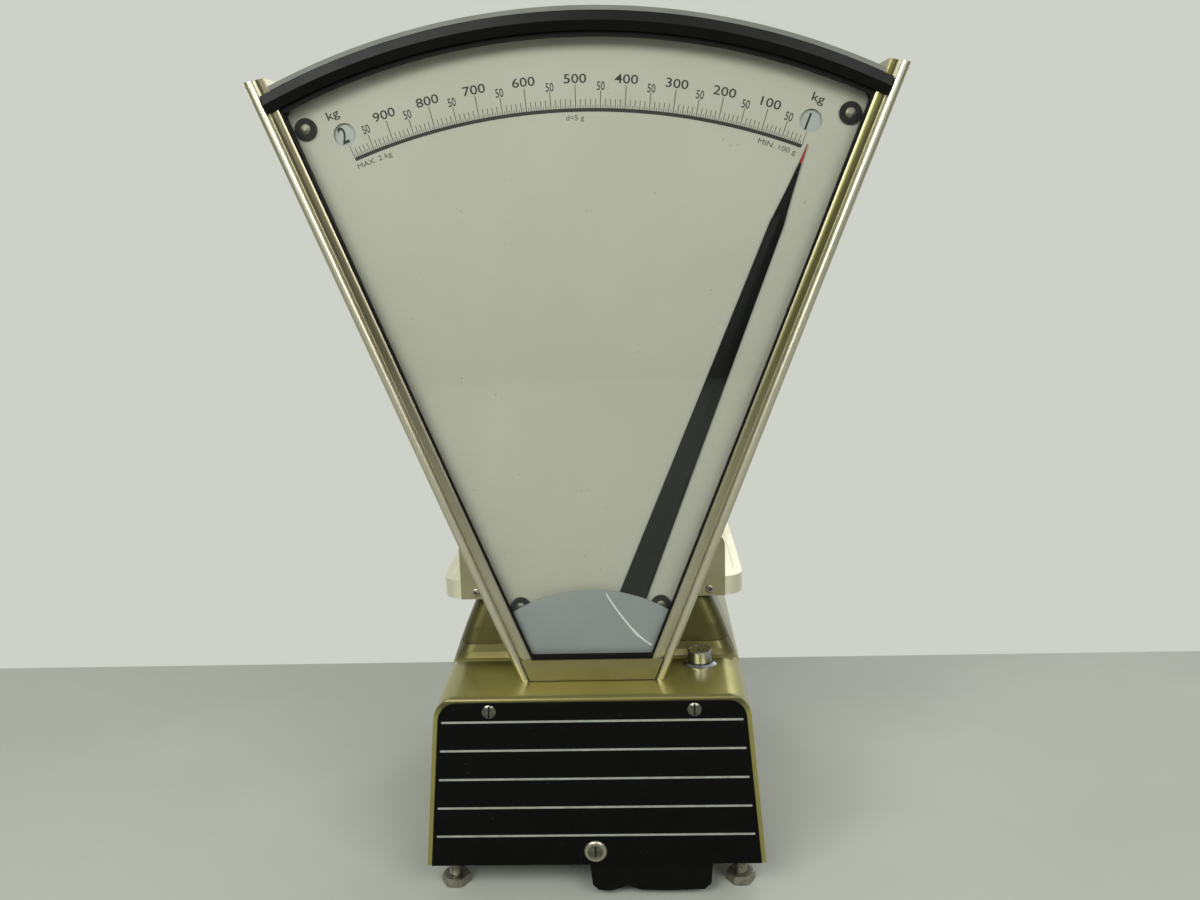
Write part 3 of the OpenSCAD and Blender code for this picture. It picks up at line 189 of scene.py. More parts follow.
@dataclass(frozen=True)
class Finish(Surface):
    """A solid finish with uneven colour, uneven gloss and a fine grain, all at real sizes.

    Attributes:
        colour: Its main colour as an sRGB hex code.
        other: The colour it drifts towards in patches.
        roughness: Middle roughness.
        metallic: Zero for paint and plastic, one for bare metal.
        coat: Strength of a clear coat.
        patch_mm: Size of the patches.
        grain_mm: Size of the grain.
        grain_depth_mm: Height of the grain in the bump.
        gloss_spread: How far the roughness goes up and down in patches.
        stretch: Length of the grain along X, Y and Z, as a multiple of grain_mm.
        turn_deg: Turn of the grain about Y.
        specular: Level of the mirrored light on paint and plastic.
        specks: Colour of small specks, or nothing.
        speck_mm: Distance from speck to speck.
    """

    colour: str
    other: str
    roughness: float = 0.4
    metallic: float = 0.0
    coat: float = 0.0
    patch_mm: float = 40.0
    grain_mm: float = 0.8
    grain_depth_mm: float = 0.01
    gloss_spread: float = 0.06
    stretch: tuple[float, float, float] = (1.0, 1.0, 1.0)
    turn_deg: float = 0.0
    specular: float = 0.5
    specks: str = ""
    speck_mm: float = 3.0

    def millimetres(self, tree: Tree) -> Socket:
        """Gives object coordinates in millimetres, turned with the grain.

        Args:
            tree: The node tree of the material.

        Returns:
            The socket with the coordinates.
        """
        place = add_node(tree, "TexCoord").outputs["Object"]
        scaled = add_node(tree, "VectorMath", {0: place, 3: 1 / MM}, operation="SCALE").outputs[0]
        turn = (0.0, math.radians(self.turn_deg), 0.0)
        return add_node(tree, "Mapping", {"Vector": scaled, "Rotation": turn}).outputs[0]

    def tint(self, tree: Tree, place: Socket) -> Socket:
        """Colours the finish in soft patches, with small specks where it has them.

        Args:
            tree: The node tree of the material.
            place: The coordinates in millimetres.

        Returns:
            The socket with the colour.
        """
        patches = {"Vector": place, "Scale": 1 / self.patch_mm, "Detail": 4.0, "Roughness": 0.6}
        share = remap(tree, add_node(tree, "TexNoise", patches).outputs[0], PATCH_SPAN)
        mixed = blend(tree, share, linear(self.colour), linear(self.other))
        if not self.specks:
            return mixed
        cells = add_node(tree, "TexVoronoi", {"Vector": place, "Scale": 1 / self.speck_mm, "Randomness": 1.0})
        near = remap(tree, cells.outputs["Distance"], SPECK_SPAN, (1.0, 0.0))
        group = add_node(tree, "TexNoise", {"Vector": place, "Scale": 0.4 / self.speck_mm, "Detail": 1.0})
        picked = remap(tree, group.outputs[0], GROUP_SPAN, (0.0, SPECK_SHARE))
        return blend(tree, calculate(tree, "MULTIPLY", near, picked), mixed, linear(self.specks))

    def gloss(self, tree: Tree, place: Socket) -> Socket:
        """Makes the roughness go up and down, as handling and dust leave it.

        Args:
            tree: The node tree of the material.
            place: The coordinates in millimetres.

        Returns:
            The socket with the roughness.
        """
        noise = add_node(tree, "TexNoise", {"Vector": place, "Scale": 2.3 / self.patch_mm, "Detail": 5.0})
        ends = (self.roughness - self.gloss_spread, self.roughness + self.gloss_spread)
        return remap(tree, noise.outputs[0], GLOSS_SPAN, ends)

    def relief(self, tree: Tree, place: Socket) -> Socket:
        """Raises the grain, drawn out along the way the surface was worked.

        Args:
            tree: The node tree of the material.
            place: The coordinates in millimetres.

        Returns:
            The socket with the bumped normal.
        """
        short = tuple(1 / s for s in self.stretch)
        drawn = add_node(tree, "VectorMath", {0: place, 1: short}, operation="MULTIPLY").outputs[0]
        noise = add_node(tree, "TexNoise", {"Vector": drawn, "Scale": 1 / self.grain_mm, "Detail": 3.0})
        bump = {"Height": noise.outputs[0], "Distance": self.grain_depth_mm * MM, "Strength": 1.0}
        return add_node(tree, "Bump", bump).outputs[0]

    def wire(self, material: bpy.types.Material) -> None:
        """Links colour, gloss and grain to the shader.

        Args:
            material: The new material.
        """
        tree = material.node_tree
        shader = tree.nodes["Principled BSDF"]
        place = self.millimetres(tree)
        shader.inputs["Metallic"].default_value = self.metallic
        shader.inputs["Coat Weight"].default_value = self.coat
        shader.inputs["Coat Roughness"].default_value = COAT_ROUGHNESS
        shader.inputs["Specular IOR Level"].default_value = self.specular
        tree.links.new(self.tint(tree, place), shader.inputs["Base Color"])
        tree.links.new(self.gloss(tree, place), shader.inputs["Roughness"])
        tree.links.new(self.relief(tree, place), shader.inputs["Normal"])


@dataclass(frozen=True)
class PointerPaint(Finish):
    """Black paint on the pointer with a red tip, told apart by the distance from the pivot.

    Attributes:
        tip: Colour of the tip.
        tip_mm: Distance from the pivot at which the tip begins.
        soft_mm: Half the width over which one colour turns into the other.
    """

    tip: str = "#9c2a27"
    tip_mm: float = 416.5
    soft_mm: float = 0.4

    def tint(self, tree: Tree, place: Socket) -> Socket:
        """Turns the black red over the last few millimetres of the pointer.

        Args:
            tree: The node tree of the material.
            place: The coordinates in millimetres.

        Returns:
            The socket with the colour.
        """
        black = super().tint(tree, place)
        flat = add_node(tree, "VectorMath", {0: place, 1: (1.0, 0.0, 1.0)}, operation="MULTIPLY").outputs[0]
        ends = {0: flat, 1: (0.0, 0.0, PIVOT_Z / MM)}
        reach = add_node(tree, "VectorMath", ends, operation="DISTANCE").outputs["Value"]
        share = remap(tree, reach, (self.tip_mm - self.soft_mm, self.tip_mm + self.soft_mm))
        return blend(tree, share, black, linear(self.tip))


@dataclass(frozen=True)
class RailMetal(Finish):
    """Drawn rail section: a pale bead, a darker band that is a painted dark reflection, and a paler inner
    edge that is a painted highlight.

    Attributes:
        side: The side of the head that the rail is on.
        band: Colour of the band, a painted dark reflection.
        edge: Colour of the band's inner edge, a painted highlight.
        outer_mm: Place of the rail's outer face across its length.
        band_mm: Where the band begins and ends, in from the outer face.
        soft_mm: Half the width over which one colour turns into the next.
        height_mm: Height along the rail below which the band's painted reflection is weakest, and above which
            it is full.
        wiped: Share of the band's colour low on the rail, where the painted reflection is weakest.
    """

    side: Side = Side.LEFT
    band: str = "#6f6a55"
    edge: str = "#a39d86"
    outer_mm: float = -8.18
    band_mm: tuple[float, float] = (8.2, 13.7)
    soft_mm: float = 0.5
    height_mm: tuple[float, float] = (240.0, 440.0)
    wiped: float = 0.35

    def tint(self, tree: Tree, place: Socket) -> Socket:
        """Lays a painted dark reflection and a painted highlight across the section, told apart by the
        distance from the outer face.

        Args:
            tree: The node tree of the material.
            place: The coordinates in millimetres, turned so that Z runs along the rail.

        Returns:
            The socket with the colour.
        """
        colour = super().tint(tree, place)
        axes = add_node(tree, "SeparateXYZ", {0: place}).outputs
        deep = calculate(tree, "MULTIPLY_ADD", axes[0], -float(self.side.value), self.outer_mm)
        # Painted reflection: the band is darker and its inner edge paler, both fading lower down the rail
        dull = remap(tree, axes[2], self.height_mm, (self.wiped, 1.0))
        for start, code in zip(self.band_mm, (self.band, self.edge)):
            share = remap(tree, deep, (start - self.soft_mm, start + self.soft_mm))
            colour = blend(tree, calculate(tree, "MULTIPLY", share, dull), colour, linear(code))
        return colour


@dataclass(frozen=True)
class HousingLacquer(Finish):
    """Housing lacquer with painted shade behind the head and round the foot of the tower, where the head
    shades it.

    Attributes:
        grime: Colour of the lacquer where shade is painted.
        begin_mm: Along Y, where the grime starts and is full.
        end_mm: Along Y, where it begins to fade and ends.
        above_mm: Height against the ledge at which it starts and is full.
        amount: Share of the painted shade where it is full.
        edge_mm: Along Y, where the painted shade on the ledge's front edge is darkest, and where it begins.
        edge_above_mm: Height against the ledge at which the edge begins and is full.
        edge_amount: Share of the painted shade on that edge.
    """

    # Painted shade: this colour stands in for the shade behind the head and on the ledge's front edge
    grime: str = "#4b4729"
    begin_mm: tuple[float, float] = (-100.0, -78.0)
    end_mm: tuple[float, float] = (-35.0, 0.0)
    above_mm: tuple[float, float] = (-4.0, 2.0)
    amount: float = 0.85
    edge_mm: tuple[float, float] = (-149.5, -144.0)
    edge_above_mm: tuple[float, float] = (-14.0, -5.0)
    edge_amount: float = 0.85

    def zone(self, tree: Tree, height: Socket, above: Sequence[float], *shares: Socket) -> Socket:
        """Works out how much painted shade a place gets.

        Args:
            tree: The node tree of the material.
            height: The height in millimetres.
            above: Height against the ledge at which the zone starts and is full.
            *shares: How much painted shade the place gets by its distance from the front.

        Returns:
            The socket with the share of the painted shade.
        """
        ledge_mm = LEDGE_Z / MM
        share = remap(tree, height, [ledge_mm + limit for limit in above])
        for other in shares:
            share = calculate(tree, "MULTIPLY", share, other)
        return share

    def tint(self, tree: Tree, place: Socket) -> Socket:
        """Darkens the lacquer in a soft zone above the ledge and along its front edge, as painted shade.

        Args:
            tree: The node tree of the material.
            place: The coordinates in millimetres.

        Returns:
            The socket with the colour.
        """
        lacquer = super().tint(tree, place)
        axes = add_node(tree, "SeparateXYZ", {0: place}).outputs
        begin = remap(tree, axes[1], self.begin_mm, (0.0, self.amount))
        end = remap(tree, axes[1], self.end_mm, (1.0, 0.0))
        edge = remap(tree, axes[1], self.edge_mm, (self.edge_amount, 0.0))
        # Painted shade behind the head and round the tower's foot, and along the ledge's front edge
        corner = self.zone(tree, axes[2], self.above_mm, begin, end)
        edge_shade = self.zone(tree, axes[2], self.edge_above_mm, edge)
        return blend(tree, calculate(tree, "MAXIMUM", corner, edge_shade), lacquer, linear(self.grime))


@dataclass(frozen=True)
class ClearGlass(Surface):
    """Float glass: clear, with a faint green cast and a sharp reflection that grows at a slant.

    Attributes:
        cast: Colour that the glass gives to what is behind it.
        ior: Refractive index, which sets how the reflection grows.
        mirror: Share of the reflection that old, dusty glass keeps.
        roughness: Roughness of the reflection.
    """

    name: str = "float_glass"
    cast: str = "#fdfefd"
    ior: float = 1.5
    mirror: float = 0.5
    roughness: float = 0.03

    def wire(self, material: bpy.types.Material) -> None:
        """Lets the light straight through, so that the dial isn't darkened twice.

        Args:
            material: The new material.
        """
        tree = material.node_tree
        shader = tree.nodes["Principled BSDF"]
        shader.inputs["Base Color"].default_value = linear("#ffffff")
        shader.inputs["Metallic"].default_value = 1.0
        shader.inputs["Roughness"].default_value = self.roughness
        clear = add_node(tree, "BsdfTransparent", {"Color": linear(self.cast)}).outputs[0]
        fresnel = add_node(tree, "Fresnel", {"IOR": self.ior}).outputs[0]
        share = calculate(tree, "MULTIPLY", fresnel, self.mirror)
        mixed = add_node(tree, "MixShader", {0: share, 1: clear, 2: shader.outputs[0]})
        tree.links.new(mixed.outputs[0], tree.nodes["Material Output"].inputs["Surface"])
        material.surface_render_method = "BLENDED"


# Champagne metallic lacquer, sprayed on a cast housing: fine flakes under a clear coat, satin gloss, with
# painted shade behind the head and on the ledge's front edge
HOUSING_LACQUER = HousingLacquer(
    "champagne_metallic_lacquer", "#a19b5b", "#989253", 0.4, 0.88, patch_mm=110, grain_mm=0.7,
    grain_depth_mm=0.002, gloss_spread=0.03, coat=0.35,
)
# The same lacquer on the sheet steel tray, painted much paler as a painted reflection of the bright room
TRAY_LACQUER = Finish(
    "pale_metallic_lacquer", "#ece9d4", "#e4e0c6", 0.38, 0.8, patch_mm=60, grain_mm=0.7,
    grain_depth_mm=0.002, gloss_spread=0.04,
)
# Painted sheet of the carrier's upstand: the same lacquer as the tray, flatter
UPSTAND_LACQUER = Finish(
    "flat_metallic_lacquer", "#a6a184", "#989376", 0.42, 0.8, patch_mm=30, grain_mm=0.6,
    grain_depth_mm=0.008,
)
# Drawn aluminium section, anodised pale gold: a bright line along each bead, die lines along its length,
# and a band painted darker as a painted reflection, more olive on the right
RAILS = {
    side: RailMetal(
        f"anodised_aluminium_{side.name.lower()}", "#cdc9b4", "#c5c0a8", 0.36, 1.0, patch_mm=90,
        grain_mm=0.5, grain_depth_mm=0.001, gloss_spread=0.02, stretch=(1, 1, 90),
        turn_deg=-side.value * RAIL_DEG, side=side, band=band,
    )
    for side, band in ((Side.LEFT, "#6f6a55"), (Side.RIGHT, "#716e48"))
}
# Brushed and lacquered strip of the bottom frame, duller than the rails
LIP_METAL = Finish(
    "brushed_lacquered_lip", "#88835f", "#7e7854", 0.45, 0.9, patch_mm=30, grain_mm=0.35,
    grain_depth_mm=0.004, stretch=(60, 1, 1),
)
# Black stoved enamel on the printed panel: almost even, with dust that dulls it in patches
PANEL_ENAMEL = Finish(
    "black_stoved_enamel", "#050504", "#080907", 0.5, patch_mm=25, grain_mm=0.6, grain_depth_mm=0.003,
    specks="#2c2d28", speck_mm=7, specular=0.07,
)
# Silver-grey screen ink, a little uneven at its edges
SILVER_INK = Finish("silver_screen_ink", "#9a9c98", "#85887f", 0.45, 0.2, patch_mm=6, grain_mm=0.5)
# Ivory stoved enamel on the dial sheet: smooth, aged a little yellow in wide patches
DIAL_ENAMEL = Finish(
    "ivory_dial_enamel", "#b1b0a5", "#adac9e", 0.5, patch_mm=110, grain_mm=1.2, grain_depth_mm=0.006,
    gloss_spread=0.05, specks="#8a8970", speck_mm=9, specular=0.35,
)
# Dark brown-black screen ink of the graduation
DIAL_INK = Finish(
    "dark_screen_ink", "#15150f", "#1f1e17", 0.5, patch_mm=4, grain_mm=0.4, grain_depth_mm=0.006,
)
# Blue-grey paint on the plate that hides the hub
HUB_PAINT = Finish(
    "blue_grey_hub_paint", "#8d9292", "#858b8d", 0.42, patch_mm=30, grain_mm=0.6, grain_depth_mm=0.008,
    gloss_spread=0.05, specks="#6d7374", speck_mm=5,
)
# White scratch in the hub paint, where the bare sheet shows
SCRATCH = Finish("bare_scratch", "#e2e5e3", "#ccd0cd", 0.5, patch_mm=2, grain_mm=0.3)
# Black moulded cover over the head: half gloss, faint mould texture
COVER_PLASTIC = Finish(
    "black_moulded_cover", "#040404", "#070705", 0.36, patch_mm=60, grain_depth_mm=0.003,
    gloss_spread=0.04, specular=0.12,
)
# Grey strip, extruded, set in the top of the black cover
STRIP_PLASTIC = Finish(
    "grey_extruded_strip", "#666863", "#5d5f59", 0.45, patch_mm=30, grain_mm=0.6, stretch=(20, 1, 1),
)
# Black seal rubber: dull, slightly grained
SEAL_RUBBER = Finish(
    "black_seal_rubber", "#070706", "#0c0c0a", 0.6, patch_mm=12, grain_mm=0.5, specular=0.12,
)
# Black cup washers, moulded, with a soft shine on the crown
WASHER_RUBBER = Finish(
    "black_moulded_washer", "#0c0c0a", "#151512", 0.42, patch_mm=8, grain_mm=0.5, specular=0.25,
)
# Dark lining inside the head
LINING = Finish("dark_grey_lining", "#4a473d", "#3c3a31", 0.55, patch_mm=30, grain_mm=0.6)
# Black moulded handle, dulled by fingers
HANDLE_PLASTIC = Finish(
    "black_handle_plastic", "#050504", "#090a07", 0.42, patch_mm=20, grain_mm=0.7, grain_depth_mm=0.006,
    specular=0.1,
)
# Matt black paint of the pointers, a little uneven, with a red tip
POINTER_BLACK = PointerPaint(
    "pointer_paint", "#070805", "#0c0d09", 0.45, patch_mm=15, grain_mm=0.6, specular=0.12,
)
# White plates with the range numbers
NUMBER_SHEET = Finish(
    "white_number_sheet", "#a9adab", "#9da2a0", 0.5, patch_mm=20, grain_mm=0.6, grain_depth_mm=0.006,
)
# Zinc-plated steel of feet and nuts: grey, dull, with stained patches
ZINC_STEEL = Finish(
    "zinc_plated_steel", "#a6a497", "#7f7c6d", 0.4, 1.0, patch_mm=5, grain_mm=0.4, grain_depth_mm=0.015,
    gloss_spread=0.1, specks="#4d483a", speck_mm=2,
)
# Nickel-plated screw heads and washer, scratched by drivers
NICKEL_SCREW = Finish(
    "nickel_plated_screws", "#b3af9c", "#a29e8a", 0.32, 1.0, patch_mm=4, grain_mm=0.3,
    grain_depth_mm=0.002, gloss_spread=0.05, stretch=(4, 1, 1),
)
# Screw heads of the panel, whose plating has gone dark
DARK_SCREW = Finish(
    "tarnished_screws", "#77786c", "#5f6056", 0.28, 1.0, patch_mm=3, grain_mm=0.3, grain_depth_mm=0.003,
)
# Screw heads behind the glass, grey and dull
DULL_SCREW = Finish(
    "dull_zinc_screws", "#858174", "#726e62", 0.5, 1.0, patch_mm=4, grain_mm=0.3, grain_depth_mm=0.003,
)
# Dark bars in the screw slots: painted shade where the slots lie in shadow
SLOT_SHADE = Finish("dirt_in_slots", "#15140f", "#24221a", 0.8, patch_mm=2, grain_mm=0.3, specular=0.1)
# Worn chrome of the knob and its escutcheon: cool, with fine pits
WORN_CHROME = Finish(
    "worn_chrome", "#aeb1b6", "#989ba0", 0.24, 1.0, patch_mm=6, grain_mm=0.4, grain_depth_mm=0.003,
    gloss_spread=0.05, specks="#4e4a3c", speck_mm=3,
)
# Turned steel of axles, pins and rods inside, with fine tool marks
TURNED_STEEL = Finish("turned_steel", "#b4b1a8", "#9a978d", 0.3, 1.0, patch_mm=6, grain_mm=0.3)
# Galvanised sheet of brackets and slides, cloudy and grey
GALVANISED = Finish(
    "galvanised_sheet", "#9fa19c", "#8b8e89", 0.42, 1.0, patch_mm=9, grain_mm=0.6, grain_depth_mm=0.012,
)
# Turned brass of the bushes and the pendulum's weight, gone a little brown
TURNED_BRASS = Finish("turned_brass", "#b8954e", "#a27f3c", 0.28, 1.0, patch_mm=8, grain_mm=0.3)
# Painted cast iron of the beam and its frame, with the sand's grain under the paint
CAST_IRON = Finish(
    "painted_cast_iron", "#4d504c", "#3d403c", 0.55, 0.3, patch_mm=10, grain_mm=0.9, grain_depth_mm=0.06,
)
# Polished red-brown agate of the bearings
AGATE = Finish(
    "polished_agate", "#7e2f2a", "#a3554a", 0.15, patch_mm=3, grain_mm=0.5, grain_depth_mm=0.002,
)
# Clear glass over both dials
GLASS = ClearGlass()
# Table top under the scale, a plain pale laminate
TABLE_TOP = Finish(
    "pale_table_laminate", "#abafa7", "#a6aaa3", 0.6, patch_mm=300, grain_mm=1.5, specular=0.25,
)

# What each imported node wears
WARDROBE: tuple[tuple[Surface, str], ...] = (
    (HOUSING_LACQUER, "base_housing"),
    (TRAY_LACQUER, "pan_carrier"),
    (UPSTAND_LACQUER, "carrier_upstand"),
    (RAILS[Side.LEFT], "rail_left"),
    (RAILS[Side.RIGHT], "rail_right"),
    (LIP_METAL, "head_bottom_frame"),
    (PANEL_ENAMEL, "front_panel"),
    (DIAL_ENAMEL, "front_dial rear_dial"),
    (HUB_PAINT, "front_hub_cover rear_hub_cover"),
    (COVER_PLASTIC, "top_cover"),
    (STRIP_PLASTIC, "top_strip"),
    (GLASS, "front_glass rear_glass"),
    (SEAL_RUBBER, "front_glass_seal rear_glass_seal"),
    (WASHER_RUBBER, "dial_washers"),
    (LINING, "dial_frame"),
    (HANDLE_PLASTIC, "range_handle"),
    (POINTER_BLACK, "front_pointer rear_pointer"),
    (NUMBER_SHEET, "range_indicator"),
    (ZINC_STEEL, "base_plate_screws foot_front_left foot_front_right foot_rear_left foot_rear_right"),
    (ZINC_STEEL, "foot_lock_nuts carrier_rivets"),
    (NICKEL_SCREW, "cup_washer range_guide_screws"),
    (DARK_SCREW, "panel_screws cup_washer_screw"),
    (DULL_SCREW, "dial_screws"),
    (WORN_CHROME, "zero_knob knob_escutcheon"),
    (TURNED_STEEL, "zero_spindle pointer_axle pendulum_arm crank connecting_link knife_edges"),
    (TURNED_STEEL, "dashpot_piston weight_lifter"),
    (GALVANISED, "base_plate axle_bracket check_link dashpot_cylinder carrier_post range_slide"),
    (GALVANISED, "weight_guide"),
    (TURNED_BRASS, "pendulum_weight axle_bushes"),
    (CAST_IRON, "main_beam mechanism_frame range_weight"),
    (AGATE, "knife_bearings"),
)


# --- Modelling by hand ------------------------------------------------------------------------


def deselect() -> None:
    """Leaves nothing selected, so that the next operator acts on its own piece only."""
    for thing in bpy.context.selected_objects:
        thing.select_set(False)


def take(name: str) -> Piece:
    """Names the piece that an operator has just added, and its mesh.

    Args:
        name: Name for the object and its data.

    Returns:
        The active object.
    """
    made = bpy.context.active_object
    made.name = name
    made.data.name = name
    return made


def select_only(things: Sequence[Piece]) -> None:
    """Selects these objects and makes the first one active.

    Args:
        things: The objects, at least one.
    """
    deselect()
    for thing in things:
        thing.select_set(True)
    bpy.context.view_layer.objects.active = things[0]


@contextmanager
def editing(thing: Piece) -> Iterator[bmesh.types.BMesh]:
    """Opens a mesh in edit mode with nothing selected, and closes it again.

    Args:
        thing: The mesh object to edit.

    Yields:
        The mesh in edit mode, whose elements are selected in code.
    """
    select_only([thing])
    bpy.ops.object.mode_set(mode="EDIT")
    bpy.ops.mesh.select_all(action="DESELECT")
    yield bmesh.from_edit_mesh(thing.data)
    bpy.ops.object.mode_set(mode="OBJECT")


def pick_faces(thing: Piece, mesh: bmesh.types.BMesh, test: Callable[[bmesh.types.BMFace], bool]) -> None:
    """Selects the faces that pass a test on their place or normal.

    Args:
        thing: The mesh object in edit mode.
        mesh: Its mesh.
        test: Says of a face whether it is picked.
    """
    for face in mesh.faces:
        face.select_set(test(face))
    bmesh.update_edit_mesh(thing.data)


def settle(thing: Piece) -> Piece:
    """Moves a piece's place, turn and scale into its mesh, so that its object sits at the origin.

    Args:
        thing: The piece.

    Returns:
        The same piece.
    """
    select_only([thing])
    bpy.ops.object.transform_apply(location=True, rotation=True, scale=True)
    return thing


def block(name: str, size: Sequence[float], place: Sequence[float] = (0, 0, 0)) -> Piece:
    """Adds a raw block, which is worked on afterwards.

    Args:
        name: Name of the block.
        size: Its sides along X, Y and Z.
        place: Its middle.

    Returns:
        The block with its size and place in its mesh.
    """
    deselect()
    bpy.ops.mesh.primitive_cube_add(size=1, location=place)
    made = take(name)
    made.scale = size
    return settle(made)


def rod(name: str, sides: int, radius: float, low: float, high: float, turn: float = 0.0) -> Piece:
    """Adds a raw upright rod, which is worked on afterwards.

    Args:
        name: Name of the rod.
        sides: How many flat sides it has.
        radius: Radius to its corners.
        low: Height of its lower end.
        high: Height of its upper end.
        turn: Turn about its axis.

    Returns:
        The rod with its size and place in its mesh.
    """
    deselect()
    bpy.ops.mesh.primitive_cylinder_add(
        vertices=sides,
        radius=radius,
        depth=high - low,
        location=(0, 0, (low + high) / 2),
        rotation=(0, 0, turn),
    )
    return settle(take(name))


def blank(name: str) -> Piece:
    """Adds an empty mesh, to be drawn in point by point.

    Args:
        name: Name of the piece.

    Returns:
        The piece without any point.
    """
    deselect()
    bpy.ops.mesh.primitive_plane_add(size=1)
    made = take(name)
    with editing(made):
        bpy.ops.mesh.select_all(action="SELECT")
        bpy.ops.mesh.delete(type="VERT")
    return made


def clean(thing: Piece) -> Piece:
    """Merges doubled points and turns every face outwards.

    Args:
        thing: The piece.

    Returns:
        The same piece.
    """
    with editing(thing):
        bpy.ops.mesh.select_all(action="SELECT")
        bpy.ops.mesh.remove_doubles(threshold=1e-6)
        bpy.ops.mesh.normals_make_consistent(inside=False)
    return thing


def apply_all(thing: Piece) -> Piece:
    """Applies a piece's modifiers in their order.

    Args:
        thing: The piece.

    Returns:
        The same piece.
    """
    select_only([thing])
    for modifier in list(thing.modifiers):
        bpy.ops.object.modifier_apply(modifier=modifier.name)
    return thing


def join(things: Sequence[Piece], name: str) -> Piece:
    """Joins pieces into one mesh under a new name.

    Args:
        things: The pieces, at least one.
        name: Name of the joined piece.

    Returns:
        The joined piece.
    """
    select_only(things)
    if len(things) > 1:
        bpy.ops.object.join()
    return take(name)


def stamp(model: Piece, places: Iterable[Matrix], name: str) -> Piece:
    """Copies a modelled piece to several places and joins the copies.

    Args:
        model: The piece that is modelled once. It is removed at the end.
        places: A matrix for each copy.
        name: Name of the joined piece.

    Returns:
        One object with all the copies in its mesh.
    """
    copies = []
    for place in places:
        copy = bpy.data.objects.new(name, model.data.copy())
        bpy.context.scene.collection.objects.link(copy)
        copy.data.transform(place)
        copies.append(copy)
    bpy.data.objects.remove(model)
    return join(copies, name)


def wear(thing: Piece, finish: Surface, body: str) -> Piece:
    """Gives a piece its finish and the body it rides on.

    Args:
        thing: The finished piece.
        finish: What it wears.
        body: The body it rides on.

    Returns:
        The same piece.
    """
    thing.data.materials.clear()
    thing.data.materials.append(finish.build())
    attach(thing, body)
    LOG.info("%s rides on %s: %d faces", thing.name, body, len(thing.data.polygons))
    return thing


def polar(radius: float, angle: float, y: float) -> Vector:
    """A point about the pointer's pivot: the angle goes from the vertical towards +X."""
    return Vector((radius * math.sin(angle), y, PIVOT_Z + radius * math.cos(angle)))


def level(face: Face, behind: float) -> float:
    """A place along Y that lies this far behind the head's own face on that side."""
    return HEAD_MID_Y + face.value * (HEAD_MID_Y - HEAD_Y - behind)


def facing(face: Face) -> Matrix:
    """Turn that stands a flat drawing up in X and Z, to be read from the front or from the rear."""
    upright = Matrix.Rotation(math.radians(90), 4, "X")
    return upright if face is Face.FRONT else Matrix.Rotation(math.pi, 4, "Z") @ upright


# Height of a capital of the built-in type, for a size of one
CAPITAL = 0.729


@dataclass(frozen=True)
class Lettering:
    """How one kind of generic words or figures is set about the pivot.

    Attributes:
        height: Height of the capitals and figures.
        weight: How far the strokes are thickened, as a share of the height.
        wide: Width of the letters against their normal width.
        radius: Distance of the base line from the pivot.
        ink: Thickness of the ink.
    """

    height: float
    weight: float
    wide: float
    radius: float
    ink: float = 0.00004

    def write(self, words: str) -> Piece:
        """Sets words in type, centred on their base line, as a flat mesh.

        Args:
            words: What is set.

        Returns:
            A mesh in the XY plane with its height along Y.
        """
        deselect()
        bpy.ops.object.text_add()
        made = bpy.context.active_object
        made.data.body = words
        made.data.align_x = "CENTER"
        made.data.size = self.height / CAPITAL
        made.data.offset = self.weight * self.height
        made.data.extrude = self.ink / 2
        made.data.resolution_u = 3
        made.scale = (self.wide, 1.0, 1.0)
        select_only([made])
        bpy.ops.object.convert(target="MESH")
        return settle(take("type"))


HUNDREDS = Lettering(0.0062, 0.012, 1.26, 0.4447)
FIFTIES = Lettering(0.0059, 0.014, 0.7, 0.4400)
UNIT = Lettering(0.0059, 0.014, 1.25, 0.4575)
LOWEST = Lettering(0.0036, 0.0, 1.22, 0.4202)
HIGHEST = Lettering(0.0036, 0.0, 1.2, 0.4202)
DIVISION = Lettering(0.0035, 0.0, 1.15, 0.4205)
RANGE = Lettering(0.0118, 0.02, 0.7, 0.445, ink=0.0001)


# --- Sub-assemblies ---------------------------------------------------------------------------


@dataclass
class CadDress:
    """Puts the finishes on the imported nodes.

    Attributes:
        finishes: Node name to finish.
    """

    finishes: dict[str, Surface] = field(
        default_factory=lambda: {node: finish for finish, nodes in WARDROBE for node in nodes.split()}
    )

    def build(self) -> None:
        """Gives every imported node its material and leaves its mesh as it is."""
        for name, node in NODES.items():
            material = self.finishes[name].build()
            if not node.data.materials:
                node.data.materials.append(material)
            for i in range(len(node.data.materials)):
                node.data.materials[i] = material
            LOG.info("%s wears %s", name, material.name)


